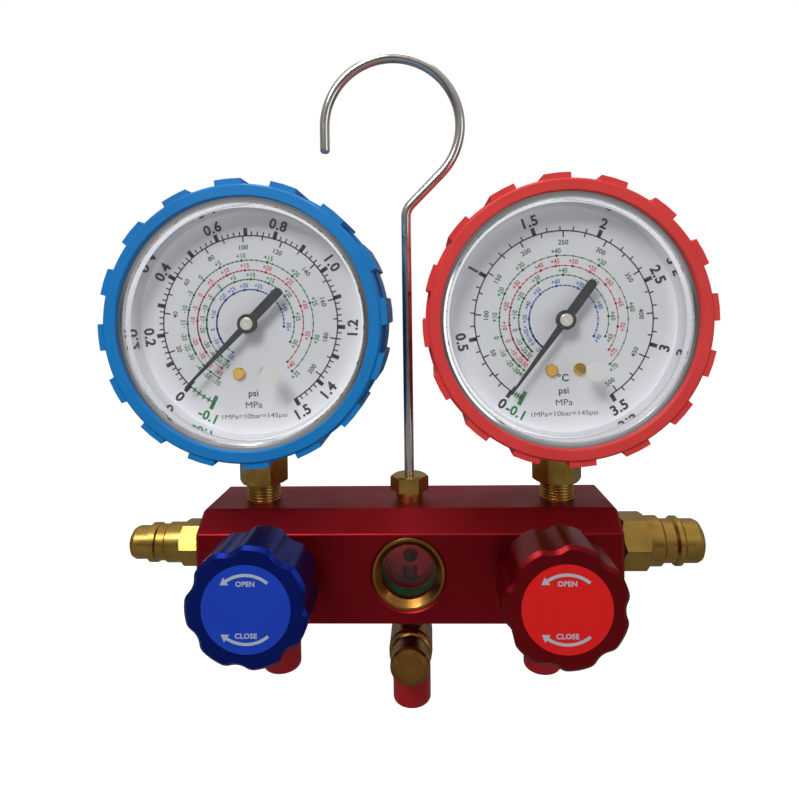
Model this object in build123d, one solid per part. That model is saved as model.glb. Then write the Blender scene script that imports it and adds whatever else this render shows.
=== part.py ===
"""Two-valve refrigerant manifold gauge set: anodised bar, two gauges, two valves, sight glass, hook.

Millimetres. The origin is the centre of the bar's back face. X runs to the right, Y to the back
and Z up, so the gauges and knobs look along -Y. "low" pieces are on the left, "high" on the right.
"""
from build123d import *
import os
from math import cos, radians, sin, sqrt, tan

# ---------------------------------------------------------------- driving dimensions (mm, degrees)
LOW, HIGH = -1, 1                       # side of the bar

BAR_WIDTH, BAR_DEPTH, BAR_HEIGHT = 131.0, 32.0, 33.0
BAND_DEPTH, BAND_HEIGHT = 7.7, 5.6      # sloped name band on the top front edge
BAND_ROUND = 1.0                        # rounding of the band's two long edges
END_EDGE = 0.9                          # broken edges of the two ends
PORT_Y = -14.0                          # plane of gauges, hook, posts and hose ports
GALLERY_Y = -9.0                        # cross passage between the two valve seats
GALLERY_R = 2.0

RUN_GAP = 0.06                          # radial clearance of a turning shaft
LOOSE_GAP = 0.3                         # face clearance of pieces that move past each other
WALL_GAP = 0.5                          # hand clearance of covers

# gauges
GAUGE_X = 48.7                          # from the middle of the bar
STEM_THREAD_R, STEM_THREAD_IN, STEM_THREAD_OUT = 5.2, 10.0, 6.0
STEM_BORE_R = 1.5
STEM_HEX_AF, STEM_HEX_H = 14.0, 9.2
STEM_NECK_R = 6.0
CASE_R, CASE_WALL = 39.4, 0.8
CASE_RISE = 19.7                        # from the bar's top face to the bottom of the case
CASE_BACK_Y, CASE_CORNER = -4.5, 1.2
BEZEL_WALL, BEZEL_FRONT_Y, BEZEL_SKIRT = 0.8, -35.2, 6.7
RIM_ROUND = 1.2                         # rounding of the bezel's outer corner
FLANGE_GAP = 0.5                        # from the case's front edge to the inside of the bezel
RIM_WIDTH = 3.2                         # from the case's radius in to the bezel's opening
DIAL_CONE = 1.3                         # how far the bezel's inner cone narrows to the dial
DIAL_LAP = 0.6                          # how far the dial reaches under the cone
LENS_THICK, LENS_BACK_Y = 2.1, -31.8
PLUG_R, PLUG_HEAD = 2.2, 0.7
PLUG_AT = (7.9, -15.3)
DIAL_THICK, DIAL_FRONT_Y = 0.8, -26.5
DIAL_HOLE_R = 1.5
DIAL_ROLL = -2.0                        # dials sit turned a little to the left
DIAL_SCREW_R, DIAL_SCREW_HEAD_R, DIAL_SCREW_HEAD = 0.9, 1.9, 0.9
DIAL_SCREW_X, DIAL_SCREW_Z = 4.3, -15.5

POINTER_Y, POINTER_THICK = -29.8, 0.5
POINTER_SHORT = 7.5                     # pointer tip to the dial's edge
POINTER_TIP_W, POINTER_ROOT_W = 0.6, 2.2
POINTER_TAIL, POINTER_TAIL_W = 14.8, 2.9
HUB_R, HUB_THICK, HUB_CAP_R, HUB_CAP = 3.0, 1.1, 1.8, 0.4
REST_ANGLE = {LOW: 226.9, HIGH: 218.4}  # zero mark, clockwise from the top of the dial

# gauge movement
MODULE = 0.5
PINION_TEETH, SECTOR_TEETH = 12, 72     # the sector carries a part of its 72 teeth
SECTOR_CUT_TEETH = 15
TOOTH_ADD, TOOTH_DED, TOOTH_PLAY = 0.36, 0.60, 0.17
SECTOR_REST = 22.5                      # sector turned this far at the zero mark
PLATE_THICK, PLATE_HALF_W, PLATE_TOP = 1.0, 7.0, 6.0
FOOT_NECK_H, PLATE_WIDE_H = 4.5, 7.0    # above the socket
PLATE_FRONT_Y, MOVEMENT_DEPTH = -24.5, 9.1
FOOT_H = 2.0
PILLAR_R, PILLAR_X, PILLAR_Z = 1.0, 5.2, 4.4
ARBOR_R, SECTOR_ARBOR_R = 0.8, 1.0
SECTOR_THICK, SECTOR_PLANE_Y = 1.2, -22.6
PINION_LENGTH = 2.4
TAIL_LENGTH, TAIL_R, TAIL_ANGLE = 4.6, 1.5, 128.0
LINK_THICK, LINK_R, LINK_PIN_R = 1.0, 1.5, 0.7
SPRING_TURNS, SPRING_PITCH, SPRING_RIBBON, SPRING_H = 5, 1.6, 0.3, 0.8
SPRING_Y, COLLET_R = -18.4, 1.5

TUBE_INSET = 9.4                        # middle line of the tube inside the case's radius
TUBE_RADIAL, TUBE_DEPTH, TUBE_WALL = 3.4, 9.0, 0.4
TUBE_SWEEP, TUBE_START = 290.0, 192.0   # start angle clockwise from the top
TIP_LENGTH, TIP_EAR = 5.0, 1.0
SOCKET_HALF_W, SOCKET_DEPTH = 6.5, 10.0

# rubber boots
BOOT_WALL, BOOT_LAP, BOOT_LIP, BOOT_BACK, BOOT_BACK_LAP = 1.6, 1.3, 1.3, 1.6, 7.4
BOOT_TEETH, TOOTH_RISE, TOOTH_SHARE, TOOTH_TURN = 16, 1.7, 0.5, -4.6
TOOTH_FRONT, TOOTH_BACK = 0.7, 3.5      # teeth stop this far inside the boot's two ends
LEDGE_RISE, LEDGE_FRONT, LEDGE_LENGTH = 0.8, 9.0, 16.0
BOOT_EDGE = 0.6

# valves
VALVE_X = 42.7
BONNET_R, BONNET_IN, BONNET_AF, BONNET_HEX, BONNET_GLAND_R = 7.0, 9.0, 17.0, 4.0, 5.4
KNOB_GAP = 7.6                          # from the bar to the back of a closed knob
KNOB_R, KNOB_LENGTH, KNOB_LOBES = 17.0, 17.0, 7
LOBE_CUT_R, LOBE_CUT, LOBE_ROUND = 5.5, 1.3, 3.5
KNOB_EDGE, KNOB_RECESS_R, KNOB_RECESS, KNOB_HUB_R, KNOB_HUB_OUT = 1.0, 12.0, 7.0, 6.0, 0.4
KNOB_TURN = {LOW: 35.0, HIGH: 40.5}     # a valley between lobes, clockwise from the top
BADGE_R, BADGE_THICK = 12.1, 0.3
KNOB_SCREW_R, KNOB_SCREW_HEAD_R, KNOB_SCREW_HEAD = 2.0, 3.6, 2.4
KNOB_SCREW_LENGTH, KNOB_SCREW_SINK = 8.0, 0.5
SPINDLE_R, SPINDLE_THREAD_R, SPINDLE_THREAD = 3.0, 5.0, 7.0
SPINDLE_SQUARE = 4.4                    # drive square inside the knob
SEAT_R, SEAT_Y, SEAT_CONE, SEAT_LIFT = 2.4, -12.5, 2.6, 0.05
CHAMBER_R = 5.6
SEAL_R, SEAL_PITCH, SEAL_COUNT = 0.8, 2.2, 2
VALVE_TRAVEL = 1.5

# sight glass
SIGHT_Z = -1.5
RING_R, RING_INNER_R, RING_LENGTH, RING_SINK, RING_BEVEL = 11.3, 8.5, 4.0, 0.2, 1.8
GLASS_R, GLASS_THICK = 10.0, 3.0
GASKET_THICK, GASKET_INNER_R = 1.5, 8.2
SIGHT_CHAMBER_R, SIGHT_CHAMBER_Y, FLOW_R, FLOW_Z = 8.0, -15.5, 2.5, -2.0
MOUTH_EDGE = 0.6

# hook
WIRE_R = 1.6
HOOK_BEND_RISE, HOOK_BEND_R = 95.6, 6.0  # above the bar's top face
LOOP_R, LOOP_X = 22.3, -4.15
HOOK_TIP = 8.5
HOOK_HEAD_R, HOOK_HEAD = 3.2, 2.0
NUT_AF, NUT_H, NUT_COLLAR, NUT_SHANK_R, NUT_SHANK = 11.0, 5.0, 3.0, 4.5, 5.0

# coupler posts: radius of the body, lengths and the radii of groove, bead and nose
POST_Z = 2.0
POST_IN, POST_THREAD_R, POST_NECK = 10.0, 5.2, 3.0
NOSE_ROUND = 2.0
LOW_POST_R, LOW_POST_AF, LOW_POST_HEX, LOW_POST_BARREL = 6.5, 13.3, 7.0, 5.6
LOW_GROOVE_R, LOW_GROOVE, LOW_BEAD_R, LOW_BEAD = 5.9, 2.6, 6.4, 3.2
LOW_NOSE_R, LOW_NOSE = 5.4, 6.3
HIGH_POST_R, HIGH_POST_AF, HIGH_POST_HEX, HIGH_POST_BARREL = 8.0, 16.4, 8.6, 5.2
HIGH_GROOVE_R, HIGH_GROOVE, HIGH_BEAD_R, HIGH_BEAD = 7.0, 3.2, 7.9, 3.2
HIGH_NOSE_R, HIGH_NOSE = 7.0, 6.5
POSTS = {
    LOW: dict(r=LOW_POST_R, hex_af=LOW_POST_AF, hex_l=LOW_POST_HEX, barrel=LOW_POST_BARREL,
              groove_r=LOW_GROOVE_R, groove=LOW_GROOVE, bead_r=LOW_BEAD_R, bead=LOW_BEAD,
              nose_r=LOW_NOSE_R, nose=LOW_NOSE),
    HIGH: dict(r=HIGH_POST_R, hex_af=HIGH_POST_AF, hex_l=HIGH_POST_HEX, barrel=HIGH_POST_BARREL,
               groove_r=HIGH_GROOVE_R, groove=HIGH_GROOVE, bead_r=HIGH_BEAD_R, bead=HIGH_BEAD,
               nose_r=HIGH_NOSE_R, nose=HIGH_NOSE),
}

# hose ports
HOSE_X = 43.5
FLARE_R, FLARE_BORE_R, FLARE_SEAT_R = 5.55, 2.4, 3.6
HOSE_HEX_AF, HOSE_HEX_H, HOSE_PITCH = 14.0, 5.0, 10.0
FLARE_LENGTH = 17.4
FLARE_TIP = 2.2
HOSE_PASSAGE_Y = -17.0                  # drilled up from the hose port into the valve chamber
TEE_PASSAGE_Y = -15.7
TEE_Z, TEE_R, TEE_NECK_R, TEE_IN = -30.6, 7.0, 4.7, 6.0
TEE_BACK, TEE_FRONT = 7.0, 8.0
ACCESS_LENGTH = 8.0
CAP_WALL, CAP_LENGTH, CAP_END, CAP_GAP = 0.65, 13.0, 1.1, 0.05
CAP_ROUND = 1.6
ACCESS_CAP_R, ACCESS_CAP_END = 6.15, 1.8
CORE_R, CORE_PIN_R, CORE_LENGTH, CORE_SINK = 1.8, 0.6, 5.0, 1.2

# ---------------------------------------------------------------- derived places
BAR_TOP = BAR_HEIGHT / 2
BAR_FRONT_Y = -BAR_DEPTH
GAUGE_RISE = CASE_R + CASE_RISE
GAUGE_Z = BAR_TOP + GAUGE_RISE
RIM_INNER_R = CASE_R - RIM_WIDTH
DIAL_SEAT_R = RIM_INNER_R - DIAL_CONE
DIAL_R = DIAL_SEAT_R + DIAL_LAP
POINTER_TIP = DIAL_R - POINTER_SHORT
TUBE_R = CASE_R - TUBE_INSET
SOCKET_TOP = -TUBE_R
FOOT_NECK_Z = SOCKET_TOP + FOOT_NECK_H
PLATE_WIDE_Z = SOCKET_TOP + PLATE_WIDE_H
FOOT_HALF_W = (TUBE_R - TUBE_RADIAL / 2) * sin(radians(TUBE_START - 180)) - WALL_GAP
PLATE_BACK_Y = PLATE_FRONT_Y + MOVEMENT_DEPTH
PINION_PITCH_R = MODULE * PINION_TEETH / 2
SECTOR_PITCH_R = MODULE * SECTOR_TEETH / 2
SECTOR_Z = -(PINION_PITCH_R + SECTOR_PITCH_R)
BEZEL_R = CASE_R + BEZEL_WALL
CASE_FRONT_Y = BEZEL_FRONT_Y + BEZEL_WALL + FLANGE_GAP
BOOT_R = BEZEL_R + BOOT_WALL
BOOT_FRONT_Y = BEZEL_FRONT_Y - BOOT_LIP
BOOT_LIP_R = CASE_R - BOOT_LAP
BOOT_BACK_R = CASE_R - BOOT_BACK_LAP
TOOTH_R = BOOT_R + TOOTH_RISE
LEDGE_R = BOOT_R + LEDGE_RISE
KNOB_BACK_Y = BAR_FRONT_Y - KNOB_GAP
KNOB_FRONT_Y = KNOB_BACK_Y - KNOB_LENGTH
CAP_R = FLARE_R + CAP_GAP + CAP_WALL


# ---------------------------------------------------------------- shapes that recur
def turned_y(points):
    """Solid of revolution about Y from (radius, y) points."""
    return revolve(make_face(Polyline(*points, close=True)), Axis.Y)


def turned_z(points):
    """Solid of revolution about Z from (radius, z) points."""
    return revolve(Plane.XZ * make_face(Polyline(*points, close=True)), Axis.Z)


def rod_y(radius, y_front, y_back, x=0.0, z=0.0):
    """Round bar along Y between two depths."""
    return Pos(x, (y_front + y_back) / 2, z) * Rot(90, 0, 0) * Cylinder(radius, y_back - y_front)


def rod_z(radius, z_low, z_high, x=0.0, y=0.0):
    """Round bar along Z between two heights."""
    return Pos(x, y, (z_low + z_high) / 2) * Cylinder(radius, z_high - z_low)


def slab_y(sketch, y_front, y_back):
    """Flat piece that faces the front: a sketch of (x, z) points, extruded to the back."""
    return Pos(0, y_back, 0) * extrude(Plane.XZ * sketch, y_back - y_front)


def hexagon_z(across_flats, z_low, z_high, turn=0.0):
    """Hexagonal bar along Z; at turn 0 a corner points to +X."""
    outline = RegularPolygon(across_flats / 2, 6, major_radius=False)
    return Pos(0, 0, z_low) * Rot(0, 0, turn) * extrude(outline, z_high - z_low)


def chamfered_hex_z(across_flats, z_low, z_high, bevel, turn=0.0, both=False):
    """Hexagonal bar along Z whose corners are turned down by a 30 degree cone at the top."""
    corner = across_flats / sqrt(3)
    bar = hexagon_z(across_flats, z_low, z_high, turn)
    low_r = corner - bevel if both else corner
    cone = turned_z([(0, z_low), (low_r, z_low), (corner + 0.01, z_low + (bevel * 0.6 if both else 0.01)),
                     (corner + 0.01, z_high - bevel * 0.6), (corner - bevel, z_high), (0, z_high)])
    return bar & cone


# ---------------------------------------------------------------- the bar
def manifold_block():
    """Extruded bar with its sloped band, broken ends, ports and passages."""
    section = make_face(Polyline(
        (0, -BAR_TOP), (BAR_FRONT_Y, -BAR_TOP), (BAR_FRONT_Y, BAR_TOP - BAND_HEIGHT),
        (BAR_FRONT_Y + BAND_DEPTH, BAR_TOP), (0, BAR_TOP), close=True))
    bar = Pos(-BAR_WIDTH / 2, 0, 0) * extrude(Plane.YZ * section, BAR_WIDTH)
    long_edges = bar.edges().filter_by(Axis.X)
    ridge = long_edges.sort_by_distance((0, BAR_FRONT_Y, BAR_TOP - BAND_HEIGHT))[0]
    crease = long_edges.sort_by_distance((0, BAR_FRONT_Y + BAND_DEPTH, BAR_TOP))[0]
    bar = fillet([ridge, crease], BAND_ROUND)
    end_faces = bar.faces().sort_by(Axis.X)
    bar = chamfer(end_faces[0].edges() + end_faces[-1].edges(), END_EDGE)
    for side in (LOW, HIGH):
        bar -= valve_cavity(side)
        bar -= rod_z(STEM_THREAD_R, BAR_TOP - STEM_THREAD_IN, BAR_TOP, side * GAUGE_X, PORT_Y)
        bar -= rod_z(STEM_BORE_R, 0, BAR_TOP - STEM_THREAD_IN, side * GAUGE_X, PORT_Y)
        bar -= rod_z(FLARE_R, -BAR_TOP, -BAR_TOP + HOSE_PITCH, side * HOSE_X, PORT_Y)
        bar -= rod_z(FLARE_BORE_R, -BAR_TOP + HOSE_PITCH, 0, side * HOSE_X, HOSE_PASSAGE_Y)
        bar -= Pos(side * (BAR_WIDTH / 2 - POST_IN / 2), PORT_Y, POST_Z) * Rot(0, 90, 0) * \
            Cylinder(POST_THREAD_R, POST_IN)
    gallery = Pos(0, GALLERY_Y, 0) * Rot(0, 90, 0) * Cylinder(GALLERY_R, 2 * VALVE_X)
    bar -= gallery
    bar -= sight_cavity()
    bar -= hook_cavity()
    bar -= rod_z(TEE_NECK_R, -BAR_TOP, -BAR_TOP + TEE_IN, 0, PORT_Y)
    bar -= rod_z(FLARE_BORE_R, -BAR_TOP + TEE_IN, SIGHT_Z - SIGHT_CHAMBER_R / 2, 0, TEE_PASSAGE_Y)
    return bar


def valve_cavity(side):
    """Bonnet thread, valve chamber and seat, bored from the front."""
    x = side * VALVE_X
    bonnet = rod_y(BONNET_R, BAR_FRONT_Y, BAR_FRONT_Y + BONNET_IN, x)
    chamber = rod_y(CHAMBER_R, BAR_FRONT_Y + BONNET_IN, SEAT_Y, x)
    seat = rod_y(SEAT_R, SEAT_Y, GALLERY_Y + GALLERY_R, x)
    return bonnet + chamber + seat


def sight_cavity():
    """Stepped pocket behind the sight glass and the flow hole in its back wall."""
    ring_end = BAR_FRONT_Y + RING_SINK + RING_LENGTH
    gasket_end = ring_end + GLASS_THICK + GASKET_THICK
    pocket = turned_y([
        (0, BAR_FRONT_Y), (RING_R + MOUTH_EDGE, BAR_FRONT_Y), (RING_R, BAR_FRONT_Y + MOUTH_EDGE),
        (RING_R, ring_end), (GLASS_R, ring_end), (GLASS_R, gasket_end),
        (SIGHT_CHAMBER_R, gasket_end), (SIGHT_CHAMBER_R, SIGHT_CHAMBER_Y), (0, SIGHT_CHAMBER_Y)])
    flow = rod_y(FLOW_R, SIGHT_CHAMBER_Y, GALLERY_Y + GALLERY_R, 0, FLOW_Z)
    return Pos(0, 0, SIGHT_Z) * pocket + flow


def hook_cavity():
    """Threaded hole for the hook nut, with room below it for the head of the hook."""
    depth = NUT_SHANK + HOOK_HEAD + 2 * LOOSE_GAP
    return rod_z(NUT_SHANK_R, BAR_TOP - depth, BAR_TOP, 0, PORT_Y)


# ---------------------------------------------------------------- sight glass
def sight_ring():
    front = BAR_FRONT_Y + RING_SINK
    return Pos(0, 0, SIGHT_Z) * turned_y([
        (RING_R - 0.3, front), (RING_INNER_R + RING_BEVEL, front),
        (RING_INNER_R, front + RING_BEVEL), (RING_INNER_R, front + RING_LENGTH),
        (RING_R, front + RING_LENGTH), (RING_R, front + 0.3)])


def sight_glass():
    front = BAR_FRONT_Y + RING_SINK + RING_LENGTH
    return rod_y(GLASS_R, front, front + GLASS_THICK, 0, SIGHT_Z)


def sight_gasket():
    front = BAR_FRONT_Y + RING_SINK + RING_LENGTH + GLASS_THICK
    return Pos(0, 0, SIGHT_Z) * turned_y([
        (GASKET_INNER_R, front), (GLASS_R, front), (GLASS_R, front + GASKET_THICK),
        (GASKET_INNER_R, front + GASKET_THICK)])


# ---------------------------------------------------------------- hook
def hook():
    """Headed wire: straight up, a bend to the right, then a loop that ends on the left."""
    head_z = BAR_TOP - NUT_SHANK - LOOSE_GAP
    bend_z = BAR_TOP + HOOK_BEND_RISE
    loop_z = bend_z + LOOP_R * sqrt(2) + LOOP_X
    set_back = HOOK_BEND_R * tan(radians(22.5))
    touch = (LOOP_X + LOOP_R * cos(radians(45)), loop_z - LOOP_R * sin(radians(45)))
    stem = Line((0, head_z - HOOK_HEAD / 2), (0, bend_z - set_back))
    bend = JernArc(stem @ 1, stem % 1, HOOK_BEND_R, -45)
    slope = Line(bend @ 1, touch)
    loop = JernArc(touch, (1, 1), LOOP_R, 225)
    tip = Line(loop @ 1, (LOOP_X - LOOP_R, loop_z - HOOK_TIP))
    path = Plane.XZ * Curve([stem, bend, slope, loop, tip])
    wire = sweep(Pos(0, 0, head_z - HOOK_HEAD / 2) * Circle(WIRE_R), path=path)
    end_edge = wire.edges().filter_by(GeomType.CIRCLE).sort_by(
        lambda e: (e.center() - Vector(LOOP_X - LOOP_R, 0, loop_z - HOOK_TIP)).length)[0]
    wire = fillet(end_edge, WIRE_R * 0.7)
    head = rod_z(HOOK_HEAD_R, head_z - HOOK_HEAD, head_z)
    return Pos(0, PORT_Y, 0) * (wire + head)


def hook_nut():
    """Gland nut that holds the hook down and lets it swivel."""
    nut = chamfered_hex_z(NUT_AF, BAR_TOP + NUT_COLLAR, BAR_TOP + NUT_COLLAR + NUT_H, 1.2, turn=0)
    nut += rod_z(NUT_SHANK_R, BAR_TOP - NUT_SHANK, BAR_TOP + NUT_COLLAR)
    nut -= rod_z(WIRE_R + RUN_GAP, BAR_TOP - NUT_SHANK, BAR_TOP + NUT_COLLAR + NUT_H)
    return Pos(0, PORT_Y, 0) * nut


# ---------------------------------------------------------------- coupler posts
def coupler_post(side):
    """Blind quick-coupler post, turned from hexagonal bar, on the end of the bar."""
    p = POSTS[side]
    neck_end = POST_NECK
    hex_end = neck_end + p["hex_l"]
    barrel_end = hex_end + p["barrel"]
    groove_end = barrel_end + p["groove"]
    bead_end = groove_end + p["bead"]
    nose_end = bead_end + p["nose"]
    slope = p["r"] - p["groove_r"]
    bead_slope = p["bead_r"] - p["groove_r"]
    body = turned_z([
        (0, -POST_IN), (POST_THREAD_R, -POST_IN), (POST_THREAD_R, neck_end), (p["r"], neck_end),
        (p["r"], barrel_end - slope), (p["groove_r"], barrel_end), (p["groove_r"], groove_end),
        (p["bead_r"], groove_end + bead_slope), (p["bead_r"], bead_end - bead_slope),
        (p["nose_r"], bead_end), (p["nose_r"], nose_end - NOSE_ROUND),
        (p["nose_r"] - 0.3 * NOSE_ROUND, nose_end - 0.4 * NOSE_ROUND),
        (p["nose_r"] - NOSE_ROUND, nose_end), (0, nose_end)])
    body += chamfered_hex_z(p["hex_af"], neck_end, hex_end, 1.0, turn=30, both=True)
    return Pos(side * BAR_WIDTH / 2, PORT_Y, POST_Z) * Rot(0, side * 90, 0) * body


# ---------------------------------------------------------------- hose ports
def flare_thread(top, bottom):
    """Male flare end about Z, pointing down, without its bore."""
    return turned_z([(0, top), (FLARE_R, top), (FLARE_R, bottom + FLARE_TIP),
                     (FLARE_SEAT_R, bottom), (0, bottom)])


def hose_port(side):
    """Flare nipple screwed into the bottom of the bar."""
    bottom = -BAR_TOP - HOSE_HEX_H - FLARE_LENGTH
    port = flare_thread(-BAR_TOP + HOSE_PITCH, bottom)
    port += chamfered_hex_z(HOSE_HEX_AF, -BAR_TOP - HOSE_HEX_H, -BAR_TOP, 1.0, turn=30, both=True)
    port -= rod_z(FLARE_BORE_R, bottom, -BAR_TOP + HOSE_PITCH)
    return Pos(side * HOSE_X, PORT_Y, 0) * port


def tee_bottom():
    """Height of the flare end below the tee."""
    return TEE_Z - TEE_R - FLARE_LENGTH + HOSE_HEX_H


def charge_tee():
    """Centre tee: neck into the bar, cross barrel with the access port, flare end below."""
    tee = rod_z(TEE_NECK_R, TEE_Z, -BAR_TOP + TEE_IN)
    tee += flare_thread(TEE_Z, tee_bottom())
    barrel = rod_y(TEE_R, -TEE_FRONT, TEE_BACK, 0, TEE_Z)
    barrel = chamfer(barrel.edges().filter_by(GeomType.CIRCLE), 1.0)
    tee += barrel
    tee += rod_y(FLARE_R, -TEE_FRONT - ACCESS_LENGTH, -TEE_FRONT, 0, TEE_Z)
    tee -= rod_z(FLARE_BORE_R, tee_bottom(), -BAR_TOP + TEE_IN)
    tee -= rod_y(CORE_R, -TEE_FRONT - ACCESS_LENGTH, 0, 0, TEE_Z)
    return Pos(0, PORT_Y, 0) * tee


def access_core():
    """Spring valve core screwed into the access port."""
    front = -TEE_FRONT - ACCESS_LENGTH
    core = rod_y(CORE_R, front + CORE_SINK, front + CORE_SINK + CORE_LENGTH, 0, TEE_Z)
    core += rod_y(CORE_PIN_R, front, front + CORE_SINK, 0, TEE_Z)
    return Pos(0, PORT_Y, 0) * core


def access_cap():
    """Screwed brass cap over the access port, with a domed front."""
    inner = FLARE_R + RUN_GAP
    back = -TEE_FRONT - LOOSE_GAP
    cavity_end = -TEE_FRONT - ACCESS_LENGTH - LOOSE_GAP
    front = cavity_end - ACCESS_CAP_END
    cap = turned_y([
        (inner, back), (ACCESS_CAP_R + 0.6, back), (ACCESS_CAP_R + 0.6, back - 1.2),
        (ACCESS_CAP_R, back - 1.6), (ACCESS_CAP_R, front + 1.6), (ACCESS_CAP_R - 0.5, front + 0.7),
        (ACCESS_CAP_R - 1.8, front + 0.15), (0, front), (0, cavity_end), (inner, cavity_end)])
    return Pos(0, PORT_Y, TEE_Z) * cap


def port_cap(x, bottom):
    """Soft cap pushed over a flare end, which ends at the height given."""
    inner = FLARE_R + CAP_GAP
    floor = bottom - CAP_GAP - CAP_END
    profile = make_face(Polyline(
        (0, floor), (CAP_R, floor), (CAP_R, floor + CAP_LENGTH), (inner, floor + CAP_LENGTH),
        (inner, floor + CAP_END), (0, floor + CAP_END), close=True))
    cap = revolve(Plane.XZ * profile, Axis.Z)
    rim = cap.edges().filter_by(GeomType.CIRCLE).group_by(Axis.Z)[0]
    cap = fillet(rim, CAP_ROUND)
    return Pos(x, PORT_Y, 0) * cap


# ---------------------------------------------------------------- valves
def bonnet(side):
    """Packing nut: threaded into the bar, bored for the spindle and its thread."""
    inside = BAR_FRONT_Y + BONNET_IN
    hex_front = BAR_FRONT_Y - BONNET_HEX
    gland_front = KNOB_BACK_Y + KNOB_HUB_OUT + LOOSE_GAP + 0.2
    body = turned_z([(0, -inside), (BONNET_R, -inside), (BONNET_R, -BAR_FRONT_Y), (BONNET_GLAND_R, -BAR_FRONT_Y),
                     (BONNET_GLAND_R, -gland_front - 0.5), (BONNET_GLAND_R - 0.5, -gland_front), (0, -gland_front)])
    body += chamfered_hex_z(BONNET_AF, -BAR_FRONT_Y, -hex_front, 1.2, turn=30)
    body = Rot(90, 0, 0) * body
    body -= rod_y(SPINDLE_R + RUN_GAP, gland_front, inside)
    body -= rod_y(SPINDLE_THREAD_R + RUN_GAP, spindle_thread_front() - VALVE_TRAVEL - LOOSE_GAP, inside)
    return Pos(side * VALVE_X, 0, 0) * body


def spindle_thread_front():
    """Front end of the spindle's threaded collar when the valve is closed."""
    return BAR_FRONT_Y + BONNET_IN - SPINDLE_THREAD


def seal_places():
    """Depths of the O-ring grooves, in the plain bore of the bonnet."""
    first = spindle_thread_front() - VALVE_TRAVEL - LOOSE_GAP - SEAL_R - 1.0
    return [first - index * SEAL_PITCH for index in range(SEAL_COUNT)]


def spindle(side):
    """Valve spindle: cone on the seat, thread, grooves for the O-rings, drive square."""
    thread_front = spindle_thread_front()
    thread_back = thread_front + SPINDLE_THREAD
    square_front = KNOB_FRONT_Y + BADGE_THICK + KNOB_SCREW_SINK + KNOB_SCREW_HEAD + 1.0
    tip = SEAT_Y - SEAT_LIFT
    cone_back = tip - SEAT_CONE
    body = turned_y([
        (0, KNOB_BACK_Y + KNOB_HUB_OUT), (SPINDLE_R, KNOB_BACK_Y + KNOB_HUB_OUT),
        (SPINDLE_R, thread_front), (SPINDLE_THREAD_R, thread_front),
        (SPINDLE_THREAD_R, thread_back), (SPINDLE_R, thread_back), (SPINDLE_R, cone_back),
        (SEAT_R - 0.4, tip), (0, tip)])
    square = Pos(0, (square_front + KNOB_BACK_Y + KNOB_HUB_OUT) / 2, 0) * Box(
        SPINDLE_SQUARE, KNOB_BACK_Y + KNOB_HUB_OUT - square_front, SPINDLE_SQUARE)
    body += square
    for place in seal_places():
        groove = turned_y([(SPINDLE_R - SEAL_R, place - SEAL_R), (SPINDLE_R + 1, place - SEAL_R),
                           (SPINDLE_R + 1, place + SEAL_R), (SPINDLE_R - SEAL_R, place + SEAL_R)])
        body -= groove
    body -= rod_y(KNOB_SCREW_R - 0.4, square_front, square_front + KNOB_SCREW_LENGTH - 1.0)
    return Pos(side * VALVE_X, 0, 0) * body


def spindle_seals(side):
    """O-rings in the spindle's grooves; one node of separate rings."""
    inner = SPINDLE_R - SEAL_R + RUN_GAP
    outer = SPINDLE_R + RUN_GAP / 2
    half = SEAL_R - RUN_GAP
    rings = []
    for place in seal_places():
        rings.append(Pos(side * VALVE_X, 0, 0) * turned_y([
            (inner, place - half / 2), (inner + 0.2, place - half), (outer - 0.2, place - half),
            (outer, place - half / 2), (outer, place + half / 2), (outer - 0.2, place + half),
            (inner + 0.2, place + half), (inner, place + half / 2)]))
    return Compound(children=rings)


def knob(side):
    """Lobed hand knob, recessed at the back, with a counterbore for its screw."""
    outline = Circle(KNOB_R)
    reach = KNOB_R - LOBE_CUT + LOBE_CUT_R
    for lobe in range(KNOB_LOBES):
        angle = radians(KNOB_TURN[side] + lobe * 360 / KNOB_LOBES)
        outline -= Pos(reach * sin(angle), reach * cos(angle)) * Circle(LOBE_CUT_R)
    outline = fillet(outline.vertices(), LOBE_ROUND)
    body = slab_y(outline, KNOB_FRONT_Y, KNOB_BACK_Y)
    front = body.faces().sort_by(Axis.Y)[0]
    back = body.faces().sort_by(Axis.Y)[-1]
    body = chamfer(front.edges() + back.edges(), KNOB_EDGE)
    recess = rod_y(KNOB_RECESS_R, KNOB_BACK_Y - KNOB_RECESS, KNOB_BACK_Y)
    recess -= rod_y(KNOB_HUB_R, KNOB_BACK_Y - KNOB_RECESS, KNOB_BACK_Y)
    body -= recess
    body += rod_y(KNOB_HUB_R, KNOB_BACK_Y, KNOB_BACK_Y + KNOB_HUB_OUT)
    head_back = KNOB_FRONT_Y + BADGE_THICK + KNOB_SCREW_SINK + KNOB_SCREW_HEAD
    body -= rod_y(KNOB_SCREW_HEAD_R, KNOB_FRONT_Y, head_back)
    body -= rod_y(KNOB_SCREW_R, head_back, head_back + 1.0)
    square_front = head_back + 1.0
    body -= Pos(0, (square_front + KNOB_BACK_Y + KNOB_HUB_OUT) / 2, 0) * Box(
        SPINDLE_SQUARE, KNOB_BACK_Y + KNOB_HUB_OUT - square_front, SPINDLE_SQUARE)
    body -= rod_y(BADGE_R, KNOB_FRONT_Y, KNOB_FRONT_Y + BADGE_THICK)
    return Pos(side * VALVE_X, 0, 0) * body


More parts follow.
